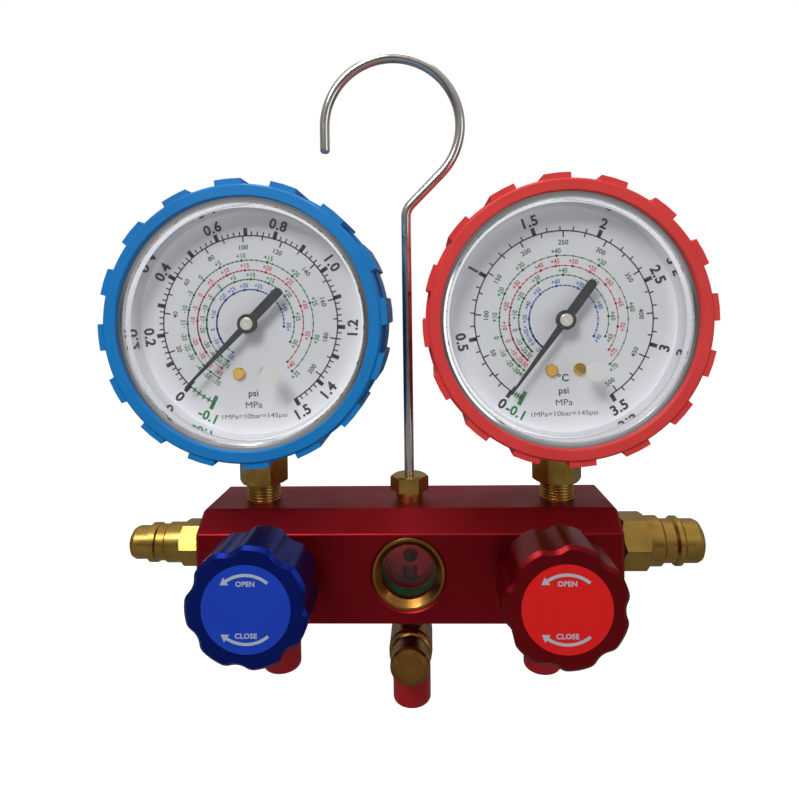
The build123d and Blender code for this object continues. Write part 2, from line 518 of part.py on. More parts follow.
def knob_screw(side):
    """Pan-head screw that holds the knob on the spindle, under the badge."""
    head_front = KNOB_FRONT_Y + BADGE_THICK + KNOB_SCREW_SINK
    head_back = head_front + KNOB_SCREW_HEAD
    shank = KNOB_SCREW_R - 0.4
    return Pos(side * VALVE_X, 0, 0) * turned_y([
        (0, head_front), (KNOB_SCREW_HEAD_R - 0.8, head_front), (KNOB_SCREW_HEAD_R, head_front + 0.8),
        (KNOB_SCREW_HEAD_R, head_back), (shank, head_back),
        (shank, head_back + KNOB_SCREW_LENGTH - 0.5), (0, head_back + KNOB_SCREW_LENGTH - 0.5)])


def badge(side):
    """Round face plate in the knob's front recess."""
    return rod_y(BADGE_R, KNOB_FRONT_Y, KNOB_FRONT_Y + BADGE_THICK, side * VALVE_X)


# ---------------------------------------------------------------- gauge covers (gauge axis at x = z = 0)
def gauge_case():
    """Drawn steel cup with the socket hole at the bottom."""
    inner = CASE_R - CASE_WALL
    case = turned_y([
        (0, CASE_BACK_Y), (CASE_R - CASE_CORNER, CASE_BACK_Y), (CASE_R, CASE_BACK_Y - CASE_CORNER),
        (CASE_R, CASE_FRONT_Y), (inner, CASE_FRONT_Y), (inner, CASE_BACK_Y - CASE_CORNER),
        (inner + CASE_WALL / 2 - CASE_CORNER, CASE_BACK_Y - CASE_WALL), (0, CASE_BACK_Y - CASE_WALL)])
    return case - rod_z(STEM_NECK_R, -CASE_R - 1, -inner + 2, 0, PORT_Y)


def bezel():
    """Pressed ring: skirt over the case, rounded rim, lens groove and cone down to the dial."""
    skirt_end = BEZEL_FRONT_Y + BEZEL_SKIRT
    rim_out = RIM_INNER_R + BEZEL_WALL
    front = BEZEL_FRONT_Y
    inside = front + BEZEL_WALL
    cone_r = RIM_INNER_R - BEZEL_WALL
    return turned_y([
        (BEZEL_R, skirt_end), (BEZEL_R, front + RIM_ROUND),
        (BEZEL_R - RIM_ROUND / 3, front + RIM_ROUND / 3), (BEZEL_R - RIM_ROUND, front),
        (RIM_INNER_R + 1.0, front), (RIM_INNER_R + 0.3, front + 0.3),
        (RIM_INNER_R, front + 1.0), (RIM_INNER_R, LENS_BACK_Y), (cone_r, LENS_BACK_Y),
        (DIAL_SEAT_R, DIAL_FRONT_Y), (DIAL_R, DIAL_FRONT_Y),
        (cone_r + 0.7, LENS_BACK_Y + BEZEL_WALL), (rim_out, LENS_BACK_Y + BEZEL_WALL),
        (rim_out, inside), (CASE_R - FLANGE_GAP, inside), (CASE_R, CASE_FRONT_Y), (CASE_R, skirt_end)])


def lens():
    """Clear window in the bezel groove, bored for its plug."""
    window = rod_y(RIM_INNER_R, LENS_BACK_Y - LENS_THICK, LENS_BACK_Y)
    return window - rod_y(PLUG_R, LENS_BACK_Y - LENS_THICK, LENS_BACK_Y, *PLUG_AT)


def lens_plug():
    """Soft plug in the window's adjusting hole."""
    front = LENS_BACK_Y - LENS_THICK
    x, z = PLUG_AT
    plug = rod_y(PLUG_R, front, LENS_BACK_Y, x, z)
    return plug + rod_y(PLUG_R + 0.7, front - PLUG_HEAD, front, x, z)


def boot():
    """Rubber boot: front lip over the bezel, sixteen grip teeth, open back, slot for the stem."""
    back = CASE_BACK_Y + BOOT_BACK
    skirt_end = BEZEL_FRONT_Y + BEZEL_SKIRT
    shell = turned_y([
        (BOOT_LIP_R, BEZEL_FRONT_Y), (BOOT_LIP_R, BOOT_FRONT_Y + BOOT_EDGE / 2),
        (BOOT_LIP_R + BOOT_EDGE / 2, BOOT_FRONT_Y), (BOOT_R - BOOT_EDGE, BOOT_FRONT_Y),
        (BOOT_R, BOOT_FRONT_Y + BOOT_EDGE), (BOOT_R, back - BOOT_EDGE), (BOOT_R - BOOT_EDGE, back),
        (BOOT_BACK_R, back), (BOOT_BACK_R, CASE_BACK_Y), (CASE_R - CASE_CORNER, CASE_BACK_Y),
        (CASE_R, CASE_BACK_Y - CASE_CORNER), (CASE_R, skirt_end), (BEZEL_R, skirt_end),
        (BEZEL_R, BEZEL_FRONT_Y + RIM_ROUND), (BEZEL_R - RIM_ROUND / 3, BEZEL_FRONT_Y + RIM_ROUND / 3),
        (BEZEL_R - RIM_ROUND, BEZEL_FRONT_Y)])
    half = 360 / BOOT_TEETH * TOOTH_SHARE / 2
    root = BOOT_R - BOOT_WALL / 2
    flank = radians(half)
    tooth = make_face(Polyline(
        (-root * sin(flank), root * cos(flank)), (-TOOTH_R * sin(flank * 0.94), TOOTH_R * cos(flank * 0.94)),
        (0, TOOTH_R), (TOOTH_R * sin(flank * 0.94), TOOTH_R * cos(flank * 0.94)),
        (root * sin(flank), root * cos(flank)), (0, root), close=True))
    tooth_front = BOOT_FRONT_Y + TOOTH_FRONT
    tooth_solid = slab_y(tooth, tooth_front, back - TOOTH_BACK)
    teeth = [Rot(0, TOOTH_TURN + index * 360 / BOOT_TEETH, 0) * tooth_solid for index in range(BOOT_TEETH)]
    ledge = turned_y([
        (root, BOOT_FRONT_Y + LEDGE_FRONT), (LEDGE_R, BOOT_FRONT_Y + LEDGE_FRONT),
        (LEDGE_R, BOOT_FRONT_Y + LEDGE_FRONT + LEDGE_LENGTH),
        (root, BOOT_FRONT_Y + LEDGE_FRONT + LEDGE_LENGTH)])
    shell = shell + ledge + teeth
    slot_r = STEM_HEX_AF / sqrt(3) + WALL_GAP
    return shell - rod_z(slot_r, -TOOTH_R - 1, -CASE_R + 4, 0, PORT_Y)


# ---------------------------------------------------------------- gauge working parts
def gauge_socket():
    """Brass socket: pipe thread, hexagon, neck through the case, block for the tube."""
    thread_low = -GAUGE_RISE - STEM_THREAD_IN
    hex_low = -GAUGE_RISE + STEM_THREAD_OUT
    hex_high = hex_low + STEM_HEX_H
    inner = CASE_R - CASE_WALL
    body = rod_z(STEM_THREAD_R, thread_low, hex_low)
    body += chamfered_hex_z(STEM_HEX_AF, hex_low, hex_high, 1.0, turn=0, both=True)
    body += rod_z(STEM_NECK_R, hex_high, -inner + 2)
    body = Pos(0, PORT_Y, 0) * body
    block = Pos(0, PORT_Y, (SOCKET_TOP - inner + 1) / 2) * Box(
        2 * SOCKET_HALF_W, SOCKET_DEPTH, SOCKET_TOP + inner - 1)
    body += block
    body -= rod_z(STEM_BORE_R, thread_low, SOCKET_TOP - 3, 0, PORT_Y)
    return body - tube_outside()


def tube_section(grow):
    """Flattened tube section in the XY plane, grown outwards by a wall."""
    half_r = TUBE_RADIAL / 2 + grow
    half_y = TUBE_DEPTH / 2 + grow
    return Pos(TUBE_R, PORT_Y) * make_face(Polyline(
        (-half_r, -half_y + half_r), (0, -half_y), (half_r, -half_y + half_r),
        (half_r, half_y - half_r), (0, half_y), (-half_r, half_y - half_r), close=True))


def around(section, start, sweep_angle):
    """Turn a section clockwise about the gauge axis, from a clock angle."""
    ring = revolve(section, Axis.Y, revolution_arc=sweep_angle)
    return Rot(0, start - 90, 0) * ring


def tube_outside():
    return around(tube_section(0), TUBE_START, TUBE_SWEEP)


def bourdon_tube():
    """C-shaped pressure tube, brazed into the socket at one end."""
    return tube_outside() - around(tube_section(-TUBE_WALL), TUBE_START, TUBE_SWEEP)


def tube_tip():
    """Plug that closes the free end of the tube, with the ear for the link."""
    end = TUBE_START + TUBE_SWEEP
    plug = around(tube_section(0), end, TIP_LENGTH)
    ear_back = link_back_y() + LOOSE_GAP + TIP_EAR
    ear_front = link_back_y() + LOOSE_GAP
    reach = 7.0
    middle = end + TIP_LENGTH / 2
    ear = Pos(0, (ear_front + ear_back + 1.4) / 2, TUBE_R - reach / 2) * Box(
        2.4, ear_back + 1.4 - ear_front, reach)
    return plug + Rot(0, middle, 0) * ear


def link_front_y():
    return SECTOR_PLANE_Y + SECTOR_THICK + LOOSE_GAP / 2


def link_back_y():
    return link_front_y() + LINK_THICK


def movement_frame():
    """Two brass plates with pillars, standing on the socket."""
    low = SOCKET_TOP
    plate = make_face(Polyline(
        (-FOOT_HALF_W, low), (-FOOT_HALF_W, FOOT_NECK_Z), (-PLATE_HALF_W, PLATE_WIDE_Z),
        (-PLATE_HALF_W, PLATE_TOP - 2), (-PLATE_HALF_W + 2, PLATE_TOP), (PLATE_HALF_W - 2, PLATE_TOP),
        (PLATE_HALF_W, PLATE_TOP - 2), (PLATE_HALF_W, PLATE_WIDE_Z), (FOOT_HALF_W, FOOT_NECK_Z),
        (FOOT_HALF_W, low), close=True))
    front = slab_y(plate, PLATE_FRONT_Y, PLATE_FRONT_Y + PLATE_THICK)
    back = slab_y(plate, PLATE_BACK_Y - PLATE_THICK, PLATE_BACK_Y)
    foot = Pos(0, (PLATE_FRONT_Y + PLATE_BACK_Y) / 2, low + FOOT_H / 2) * Box(
        2 * FOOT_HALF_W, MOVEMENT_DEPTH, FOOT_H)
    frame = front + back + foot
    for side in (-1, 1):
        frame += rod_y(PILLAR_R, PLATE_FRONT_Y, PLATE_BACK_Y, side * PILLAR_X, PILLAR_Z)
    frame -= rod_y(ARBOR_R + RUN_GAP, PLATE_FRONT_Y, PLATE_BACK_Y)
    frame -= rod_y(SECTOR_ARBOR_R + RUN_GAP, PLATE_FRONT_Y, PLATE_BACK_Y, 0, SECTOR_Z)
    for x, z in dial_screw_places():
        frame += rod_y(DIAL_SCREW_R + 0.9, DIAL_FRONT_Y + DIAL_THICK, PLATE_FRONT_Y, x, z)
        frame -= rod_y(DIAL_SCREW_R, DIAL_FRONT_Y + DIAL_THICK, PLATE_FRONT_Y + PLATE_THICK, x, z)
    return frame


def dial_screw_places():
    """The two screws below the pointer, turned with the dial."""
    roll = radians(DIAL_ROLL)
    places = []
    for side in (-1, 1):
        x = side * DIAL_SCREW_X
        places.append((x * cos(roll) + DIAL_SCREW_Z * sin(roll), DIAL_SCREW_Z * cos(roll) - x * sin(roll)))
    return places


def gear_outline(pitch_r, teeth, count, first):
    """Outline of a gear or of a sector's teeth, as tooth flanks about clock angles."""
    pitch = 360 / teeth
    half_pitch_width = (3.14159 * MODULE / 2 - TOOTH_PLAY) / 2
    tip_half = half_pitch_width - TOOTH_ADD * tan(radians(20))
    root_half = half_pitch_width + TOOTH_DED * tan(radians(20))
    points = []
    for index in range(count):
        middle = radians(first + index * pitch)
        for radius, half in ((pitch_r - TOOTH_DED, -root_half), (pitch_r + TOOTH_ADD, -tip_half),
                             (pitch_r + TOOTH_ADD, tip_half), (pitch_r - TOOTH_DED, root_half)):
            turn = middle + half / radius
            points.append((radius * sin(turn), radius * cos(turn)))
    return points


def pointer_shaft():
    """Arbor with the pinion, through the dial, ending in the pointer hub."""
    front = POINTER_Y - POINTER_THICK / 2 - HUB_THICK / 2
    shaft = rod_y(ARBOR_R, front, PLATE_BACK_Y - LOOSE_GAP)
    teeth = make_face(Polyline(*gear_outline(PINION_PITCH_R, PINION_TEETH, PINION_TEETH, 0), close=True))
    middle = SECTOR_PLANE_Y + SECTOR_THICK / 2
    return shaft + slab_y(teeth, middle - PINION_LENGTH / 2, middle + PINION_LENGTH / 2)


def sector_gear():
    """Toothed sector on its arbor, with the tail that the link pulls."""
    pitch = 360 / SECTOR_TEETH
    first = -(SECTOR_CUT_TEETH - 1) / 2 * pitch
    rim = gear_outline(SECTOR_PITCH_R, SECTOR_TEETH, SECTOR_CUT_TEETH, first)
    rim_in = SECTOR_PITCH_R - TOOTH_DED - 1.8
    span = radians(first) * 0.94
    web = make_face(Polyline(
        *rim, (-rim_in * sin(span), rim_in * cos(span)), (2.2, 2.4), (-2.2, 2.4),
        (rim_in * sin(span), rim_in * cos(span)), close=True))
    window = make_face(Polyline((0, 6.5), (5.6, rim_in - 2.4), (0, rim_in - 0.6), (-5.6, rim_in - 2.4),
                                close=True))
    tail_x = TAIL_LENGTH * sin(radians(TAIL_ANGLE - SECTOR_REST))
    tail_z = TAIL_LENGTH * cos(radians(TAIL_ANGLE - SECTOR_REST))
    plane = slab_y(web - window, SECTOR_PLANE_Y, SECTOR_PLANE_Y + SECTOR_THICK)
    plane += rod_y(3.0, SECTOR_PLANE_Y, SECTOR_PLANE_Y + SECTOR_THICK)
    arm = slab_y(make_hull([*Circle(TAIL_R).edges(), *(Pos(tail_x, tail_z) * Circle(TAIL_R)).edges()]),
                 SECTOR_PLANE_Y, SECTOR_PLANE_Y + SECTOR_THICK)
    plane += arm
    plane += rod_y(SECTOR_ARBOR_R, PLATE_FRONT_Y + LOOSE_GAP, PLATE_BACK_Y - LOOSE_GAP)
    plane += rod_y(LINK_PIN_R, SECTOR_PLANE_Y, link_back_y(), tail_x, tail_z)
    return Pos(0, 0, SECTOR_Z) * Rot(0, SECTOR_REST, 0) * plane


def tail_place():
    """Link pin on the sector's tail, with the gauge at zero."""
    angle = radians(TAIL_ANGLE)
    return TAIL_LENGTH * sin(angle), SECTOR_Z + TAIL_LENGTH * cos(angle)


def tip_place():
    """Middle of the link's outer eye, beside the ear of the tube tip."""
    angle = radians(TUBE_START + TUBE_SWEEP + TIP_LENGTH / 2)
    reach = TUBE_R - 5.0
    return reach * sin(angle), reach * cos(angle)


def link():
    """Flat link from the sector's tail to the tube tip."""
    ends = [tail_place(), tip_place()]
    eyes = [Pos(*end) * Circle(LINK_R) for end in ends]
    bar = make_hull([edge for eye in eyes for edge in eye.edges()])
    bar -= Pos(*ends[0]) * Circle(LINK_PIN_R + RUN_GAP)
    return slab_y(bar, link_front_y(), link_back_y())


def hairspring():
    """Flat spiral of half rings round the arbor, from its collet to a frame pillar."""
    spring = None
    for index in range(SPRING_TURNS):
        radius = COLLET_R + (index + 0.5) * SPRING_PITCH / 2
        shift = (SPRING_PITCH / 4) * (1 if index % 2 else -1)
        ring = Circle(radius + SPRING_RIBBON / 2) - Circle(radius - SPRING_RIBBON / 2)
        side = 1 if index % 2 == 0 else -1
        half = ring & Pos(0, side * 20) * Rectangle(40, 40)
        half = Pos(shift, 0) * half
        spring = half if spring is None else spring + half
    collet = Circle(COLLET_R + SPRING_RIBBON / 2) - Circle(ARBOR_R + RUN_GAP)
    spring = slab_y(spring + collet, SPRING_Y, SPRING_Y + SPRING_H)
    return spring


def dial():
    """Round scale plate with its centre and screw holes."""
    plate = rod_y(DIAL_R, DIAL_FRONT_Y, DIAL_FRONT_Y + DIAL_THICK)
    plate -= rod_y(DIAL_HOLE_R, DIAL_FRONT_Y, DIAL_FRONT_Y + DIAL_THICK)
    for x, z in dial_screw_places():
        plate -= rod_y(DIAL_SCREW_R, DIAL_FRONT_Y, DIAL_FRONT_Y + DIAL_THICK, x, z)
    return plate


def dial_screws():
    """The two dial screws; one node of separate solids."""
    screws = []
    for x, z in dial_screw_places():
        head = DIAL_FRONT_Y - DIAL_SCREW_HEAD
        screws.append(Pos(x, 0, z) * turned_y([
            (0, head), (DIAL_SCREW_HEAD_R - 0.3, head), (DIAL_SCREW_HEAD_R, head + 0.3),
            (DIAL_SCREW_HEAD_R, DIAL_FRONT_Y), (DIAL_SCREW_R, DIAL_FRONT_Y),
            (DIAL_SCREW_R, PLATE_FRONT_Y + PLATE_THICK * 0.8), (0, PLATE_FRONT_Y + PLATE_THICK * 0.8)]))
    return Compound(children=screws)


def pointer(side):
    """Needle with a rounded tail, pressed on the shaft; it rests on the zero mark."""
    needle = make_face(Polyline(
        (-POINTER_ROOT_W / 2, 0), (-POINTER_TIP_W / 2, POINTER_TIP - 0.4), (0, POINTER_TIP),
        (POINTER_TIP_W / 2, POINTER_TIP - 0.4), (POINTER_ROOT_W / 2, 0), close=True))
    tail_r = POINTER_TAIL_W / 2
    tail = Pos(0, -(POINTER_TAIL - tail_r) / 2) * Rectangle(POINTER_TAIL_W, POINTER_TAIL - tail_r)
    tail += Pos(0, -(POINTER_TAIL - tail_r)) * Circle(tail_r)
    blade = slab_y(needle + tail, POINTER_Y - POINTER_THICK / 2, POINTER_Y + POINTER_THICK / 2)
    front = POINTER_Y - POINTER_THICK / 2 - HUB_THICK / 2
    hub = rod_y(HUB_R, front, front + HUB_THICK + POINTER_THICK / 2)
    cap = rod_y(HUB_CAP_R, front - HUB_CAP, front)
    body = blade + hub + cap
    body -= rod_y(ARBOR_R, front, POINTER_Y + 5)
    return Rot(0, REST_ANGLE[side] + DIAL_ROLL, 0) * body


# ---------------------------------------------------------------- write the parts
def gauge_parts(side, name):
    """One gauge's pieces, moved to its place above the bar."""
    pieces = {
        "gauge_case": gauge_case(), "bezel": bezel(), "lens": lens(), "lens_plug": lens_plug(),
        "boot": boot(), "gauge_socket": gauge_socket(), "bourdon_tube": bourdon_tube(),
        "tube_tip": tube_tip(), "movement_frame": movement_frame(), "pointer_shaft": pointer_shaft(),
        "sector_gear": sector_gear(), "link": link(), "hairspring": hairspring(), "dial": dial(),
        "dial_screws": dial_screws(), "pointer": pointer(side)}
    place = Pos(side * GAUGE_X, 0, GAUGE_Z)
    return {f"{name}_{piece}": place * solid for piece, solid in pieces.items()}


def valve_parts(side, name):
    """One valve, its coupler post and its hose port."""
    flare_bottom = -BAR_TOP - HOSE_HEX_H - FLARE_LENGTH
    return {
        f"{name}_bonnet": bonnet(side), f"{name}_spindle": spindle(side),
        f"{name}_spindle_seals": spindle_seals(side), f"{name}_knob": knob(side),
        f"{name}_knob_screw": knob_screw(side), f"{name}_badge": badge(side),
        f"{name}_coupler_post": coupler_post(side), f"{name}_hose_port": hose_port(side),
        f"{name}_port_cap": port_cap(side * HOSE_X, flare_bottom)}


def all_parts():
    parts = {
        "manifold_block": manifold_block(), "sight_ring": sight_ring(), "sight_glass": sight_glass(),
        "sight_gasket": sight_gasket(), "hook": hook(), "hook_nut": hook_nut(),
        "charge_tee": charge_tee(), "access_core": access_core(), "access_cap": access_cap(),
        "centre_port_cap": port_cap(0, tee_bottom())}
    for side, name in ((LOW, "low"), (HIGH, "high")):
        parts.update(valve_parts(side, name))
        parts.update(gauge_parts(side, name))
    return parts


os.makedirs("parts", exist_ok=True)
for node, solid in all_parts().items():
    export_step(solid, f"parts/{node}.step")
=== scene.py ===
# %% [markdown]
# # Dressing a refrigerant manifold gauge set
# The engineered solids are already in place: bar, gauges, valves, posts, hook. This lesson gives
# each of them the surface it has on a real gauge set, then adds what is printed, cut or wound on
# top of them: the scales, the arrows on the knobs, the pipe threads.

# %% Load the solids
import math

import bmesh
import bpy
from mathutils import Matrix, Vector


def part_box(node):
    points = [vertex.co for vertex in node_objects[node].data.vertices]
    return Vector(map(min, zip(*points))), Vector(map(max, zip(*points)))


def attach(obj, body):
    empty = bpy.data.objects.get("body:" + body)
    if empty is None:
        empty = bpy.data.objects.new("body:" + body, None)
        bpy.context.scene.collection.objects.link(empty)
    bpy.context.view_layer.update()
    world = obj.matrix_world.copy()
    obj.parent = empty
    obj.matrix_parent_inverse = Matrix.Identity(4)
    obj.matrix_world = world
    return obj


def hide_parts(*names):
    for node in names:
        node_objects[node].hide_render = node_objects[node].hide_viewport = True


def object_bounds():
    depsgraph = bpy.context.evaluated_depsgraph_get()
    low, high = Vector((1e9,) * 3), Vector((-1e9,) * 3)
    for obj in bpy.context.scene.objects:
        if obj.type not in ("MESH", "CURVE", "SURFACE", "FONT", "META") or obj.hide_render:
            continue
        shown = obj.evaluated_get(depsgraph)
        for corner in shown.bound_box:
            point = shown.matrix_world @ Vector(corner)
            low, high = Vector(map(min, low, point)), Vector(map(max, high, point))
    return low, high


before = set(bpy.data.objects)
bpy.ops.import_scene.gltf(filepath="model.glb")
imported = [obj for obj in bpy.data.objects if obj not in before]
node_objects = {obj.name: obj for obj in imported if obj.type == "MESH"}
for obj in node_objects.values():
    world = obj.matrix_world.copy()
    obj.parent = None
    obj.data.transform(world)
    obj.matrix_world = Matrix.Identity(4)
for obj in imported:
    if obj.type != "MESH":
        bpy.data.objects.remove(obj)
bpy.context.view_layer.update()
MM = 0.001
SIDES = ("low", "high")
print("solids:", len(node_objects))

# %% [markdown]
# ## Camera
# A gauge set is looked at from straight ahead and close, a little above the bar, so that the bar's
# top face shows and the far gauge rims turn slightly outwards. The lens is short, and a small
# shift keeps the uprights upright instead of tilting the camera.

# %% Camera
CAMERA_PLACE = (7.378 * MM, -219.005 * MM, 80.943 * MM)
CAMERA_YAW, CAMERA_PITCH, CAMERA_ROLL = -0.027, -0.021, -0.013
FRAME_HEIGHT_PX, FOCAL_PX = 800, 619.98
SHIFT_RIGHT_PX, SHIFT_UP_PX = 13.348, 82.743
SENSOR_MM = 36.0

camera_data = bpy.data.cameras.new("camera")
camera_data.sensor_fit = "VERTICAL"
camera_data.sensor_height = SENSOR_MM
camera_data.lens = FOCAL_PX * SENSOR_MM / FRAME_HEIGHT_PX
camera_data.shift_x = -SHIFT_RIGHT_PX / FRAME_HEIGHT_PX
camera_data.shift_y = -SHIFT_UP_PX / FRAME_HEIGHT_PX
camera_data.clip_start = 0.005
camera = bpy.data.objects.new("camera", camera_data)
bpy.context.scene.collection.objects.link(camera)
forward = Vector((math.sin(CAMERA_YAW) * math.cos(CAMERA_PITCH),
                  math.cos(CAMERA_YAW) * math.cos(CAMERA_PITCH), math.sin(CAMERA_PITCH)))
right = Vector((math.cos(CAMERA_YAW), -math.sin(CAMERA_YAW), 0))
up = right.cross(forward)
rolled_right = right * math.cos(CAMERA_ROLL) + up * math.sin(CAMERA_ROLL)
rolled_up = up * math.cos(CAMERA_ROLL) - right * math.sin(CAMERA_ROLL)
axes = Matrix((rolled_right, rolled_up, -forward)).transposed().to_4x4()
camera.matrix_world = Matrix.Translation(CAMERA_PLACE) @ axes
bpy.context.scene.camera = camera
print("lens mm:", round(camera_data.lens, 2))

# %% [markdown]
# ## A finish is a small network of nodes
# Every finish here starts as one Principled shader. Nodes are wired in code, so two helpers keep
# that short: one makes the shader, the other adds a sum or a product.

# %% The base of a finish
def new_finish(name, colour, metallic=0.0, roughness=0.5, **extra):
    """A material with one Principled shader; extra names its other sockets."""
    finish = bpy.data.materials.new(name)
    finish.use_nodes = True
    shader = finish.node_tree.nodes["Principled BSDF"]
    shader.inputs["Base Color"].default_value = (*colour, 1)
    shader.inputs["Metallic"].default_value = metallic
    shader.inputs["Roughness"].default_value = roughness
    for socket, value in extra.items():
        shader.inputs[socket.replace("_", " ")].default_value = value
    return finish


def shader_of(finish):
    return finish.node_tree.nodes["Principled BSDF"]


def math_node(tree, operation, *values):
    """A Math node whose inputs are sockets or numbers; returns its output."""
    node = tree.nodes.new("ShaderNodeMath")
    node.operation = operation
    for socket, value in zip(node.inputs, values):
        if isinstance(value, (int, float)):
            socket.default_value = value
        else:
            tree.links.new(value, socket)
    return node.outputs[0]


# %% [markdown]
# ## Tone, gloss and grain
# A real surface has slow changes of tone, patches of gloss, a fine grain, and on turned pieces the
# rings that the tool leaves. Image maps could hold all that, but they need unwrapped meshes.
# Noise in the piece's own space needs none, stays sharp close by, and stretches into rings.

# %% Patterns on a finish
def object_pattern(finish, scale, stretch=(1, 1, 1), detail=3.0):
    """Noise that stays fixed to the piece, in waves per metre."""
    tree = finish.node_tree
    place = tree.nodes.new("ShaderNodeTexCoord")
    mapping = tree.nodes.new("ShaderNodeMapping")
    mapping.inputs["Scale"].default_value = stretch
    noise = tree.nodes.new("ShaderNodeTexNoise")
    noise.inputs["Scale"].default_value = scale
    noise.inputs["Detail"].default_value = detail
    tree.links.new(place.outputs["Object"], mapping.inputs["Vector"])
    tree.links.new(mapping.outputs["Vector"], noise.inputs["Vector"])
    return noise.outputs["Fac"]


def spread(finish, value, low, high):
    """Map a pattern to a range of values; noise hardly leaves the range 0.3 to 0.7."""
    tree = finish.node_tree
    node = tree.nodes.new("ShaderNodeMapRange")
    node.inputs["From Min"].default_value = 0.3
    node.inputs["From Max"].default_value = 0.7
    node.inputs["To Min"].default_value = low
    node.inputs["To Max"].default_value = high
    tree.links.new(value, node.inputs["Value"])
    return node.outputs["Result"]


def vary_colour(finish, pattern, first, second):
    """Blend two tones by a pattern."""
    tree = finish.node_tree
    mix = tree.nodes.new("ShaderNodeMix")
    mix.data_type = "RGBA"
    mix.inputs["A"].default_value = (*first, 1)
    mix.inputs["B"].default_value = (*second, 1)
    tree.links.new(spread(finish, pattern, 0, 1), mix.inputs["Factor"])
    tree.links.new(mix.outputs["Result"], shader_of(finish).inputs["Base Color"])


def vary_roughness(finish, pattern, low, high):
    tree = finish.node_tree
    tree.links.new(spread(finish, pattern, low, high), shader_of(finish).inputs["Roughness"])


def add_relief(finish, pattern, depth, strength=1.0):
    """Bump from a pattern; chained onto relief that is already there."""
    tree = finish.node_tree
    bump = tree.nodes.new("ShaderNodeBump")
    bump.inputs["Distance"].default_value = depth
    bump.inputs["Strength"].default_value = strength
    tree.links.new(pattern, bump.inputs["Height"])
    target = shader_of(finish).inputs["Normal"]
    if target.links:
        tree.links.new(target.links[0].from_socket, bump.inputs["Normal"])
    tree.links.new(bump.outputs["Normal"], target)


# %% [markdown]
# ## Who wears what
# A solid keeps its mesh and takes a finish. A piece that the solids lack is made here, and says
# with which body it moves, so that it follows every joint.

# %% Dress a solid or add a piece
def wear_nodes(names, finish):
    """Give solids a finish."""
    for name in names:
        slots = node_objects[name].data.materials
        slots.clear()
        slots.append(finish)
    print(finish.name, "on", ", ".join(names))


def both(*names):
    return [f"{side}_{name}" for name in names for side in SIDES]


def add_piece(name, mesh, finish, body):
    """Put a mesh in the scene as a piece of the object that moves with a body."""
    mesh.materials.clear()
    mesh.materials.append(finish)
    piece = bpy.data.objects.new(name, mesh)
    bpy.context.scene.collection.objects.link(piece)
    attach(piece, body)
    return piece


# %% [markdown]
# ## Anodised aluminium
# The bar is extruded, blasted and dyed red. Red paint would look like plastic here: the dye lets
# the metal shine through, so it is a metallic shader with a fine matt grain. The knobs are turned
# and milled before they are dyed, so they are smoother and catch sharper lights on their lobes.

# %% Anodised finishes
def anodised(name, colour, deep, roughness, grain_depth, line_stretch):
    finish = new_finish(name, colour, metallic=0.82, roughness=roughness)
    vary_colour(finish, object_pattern(finish, 28, detail=2), colour, deep)
    vary_roughness(finish, object_pattern(finish, 60), roughness * 0.85, roughness * 1.2)
    add_relief(finish, object_pattern(finish, 5200, detail=1), grain_depth)
    add_relief(finish, object_pattern(finish, 900, line_stretch, 2), grain_depth, 0.5)
    return finish


BAR_RED, BAR_RED_DEEP = (0.30, 0.004, 0.010), (0.22, 0.003, 0.007)
bar_finish = anodised("anodised_red_bar", BAR_RED, BAR_RED_DEEP, 0.42, 0.00002, (0.02, 1, 1))
red_knob_finish = anodised("anodised_red_knob", (0.26, 0.004, 0.008), (0.19, 0.003, 0.006), 0.30,
                           0.00001, (0.1, 1, 0.1))
blue_knob_finish = anodised("anodised_blue_knob", (0.002, 0.018, 0.25), (0.001, 0.012, 0.18), 0.28,
                            0.00001, (0.1, 1, 0.1))
wear_nodes(["manifold_block"], bar_finish)
wear_nodes(["low_knob"], blue_knob_finish)
wear_nodes(["high_knob"], red_knob_finish)

# %% [markdown]
# ## Brass, chrome, steel
# The fittings are turned from brass bar and left bare, so rings from the lathe run round them, and
# handling has dulled them in patches. The rings are noise squeezed along the turning axis, which
# follows any profile; a picture of rings would smear on the cones. The tee and the two pieces in
# front get painted shade: a darker, browner brass stands in for the shadow they sit in and the dark
# room they mirror. The bezel and the hook are bright plated.

# %% Metal finishes
BRASS, BRASS_DULL = (0.58, 0.36, 0.085), (0.42, 0.24, 0.05)
# Painted shade: the second pair of brass tones is darker and browner, for pieces in shadow that
# mirror a dark room.
BRASS_SHADE_TONE, BRASS_SHADE_DEEP = (0.42, 0.20, 0.045), (0.26, 0.11, 0.025)


def turned_brass(name, line_stretch, bright=BRASS, dull=BRASS_DULL):
    finish = new_finish(name, bright, metallic=1.0, roughness=0.25)
    vary_colour(finish, object_pattern(finish, 120), bright, dull)
    vary_roughness(finish, object_pattern(finish, 240), 0.18, 0.38)
    add_relief(finish, object_pattern(finish, 3000, line_stretch, 2), 0.00002, 0.6)
    return finish


brass_z = turned_brass("brass_turned_upright", (0.02, 0.02, 1))
brass_y = turned_brass("brass_turned_front", (0.02, 1, 0.02))
brass_x = turned_brass("brass_turned_side", (1, 0.02, 0.02))
# Painted shade: the same turned brass, darkened and browned to stand in for shadow and a mirrored
# dark room.
painted_shade_brass_z = turned_brass("brass_painted_shade_upright", (0.02, 0.02, 1), BRASS_SHADE_TONE, BRASS_SHADE_DEEP)
painted_shade_brass_y = turned_brass("brass_painted_shade_front", (0.02, 1, 0.02), BRASS_SHADE_TONE, BRASS_SHADE_DEEP)
# %% [markdown]
# ## Plating, paint and springs
# Chrome shows the room more than itself, so it needs hardly any colour, only gloss that isn't
# perfectly even. Inside the case, tube and springs have their own metals, which show if someone
# opens it.

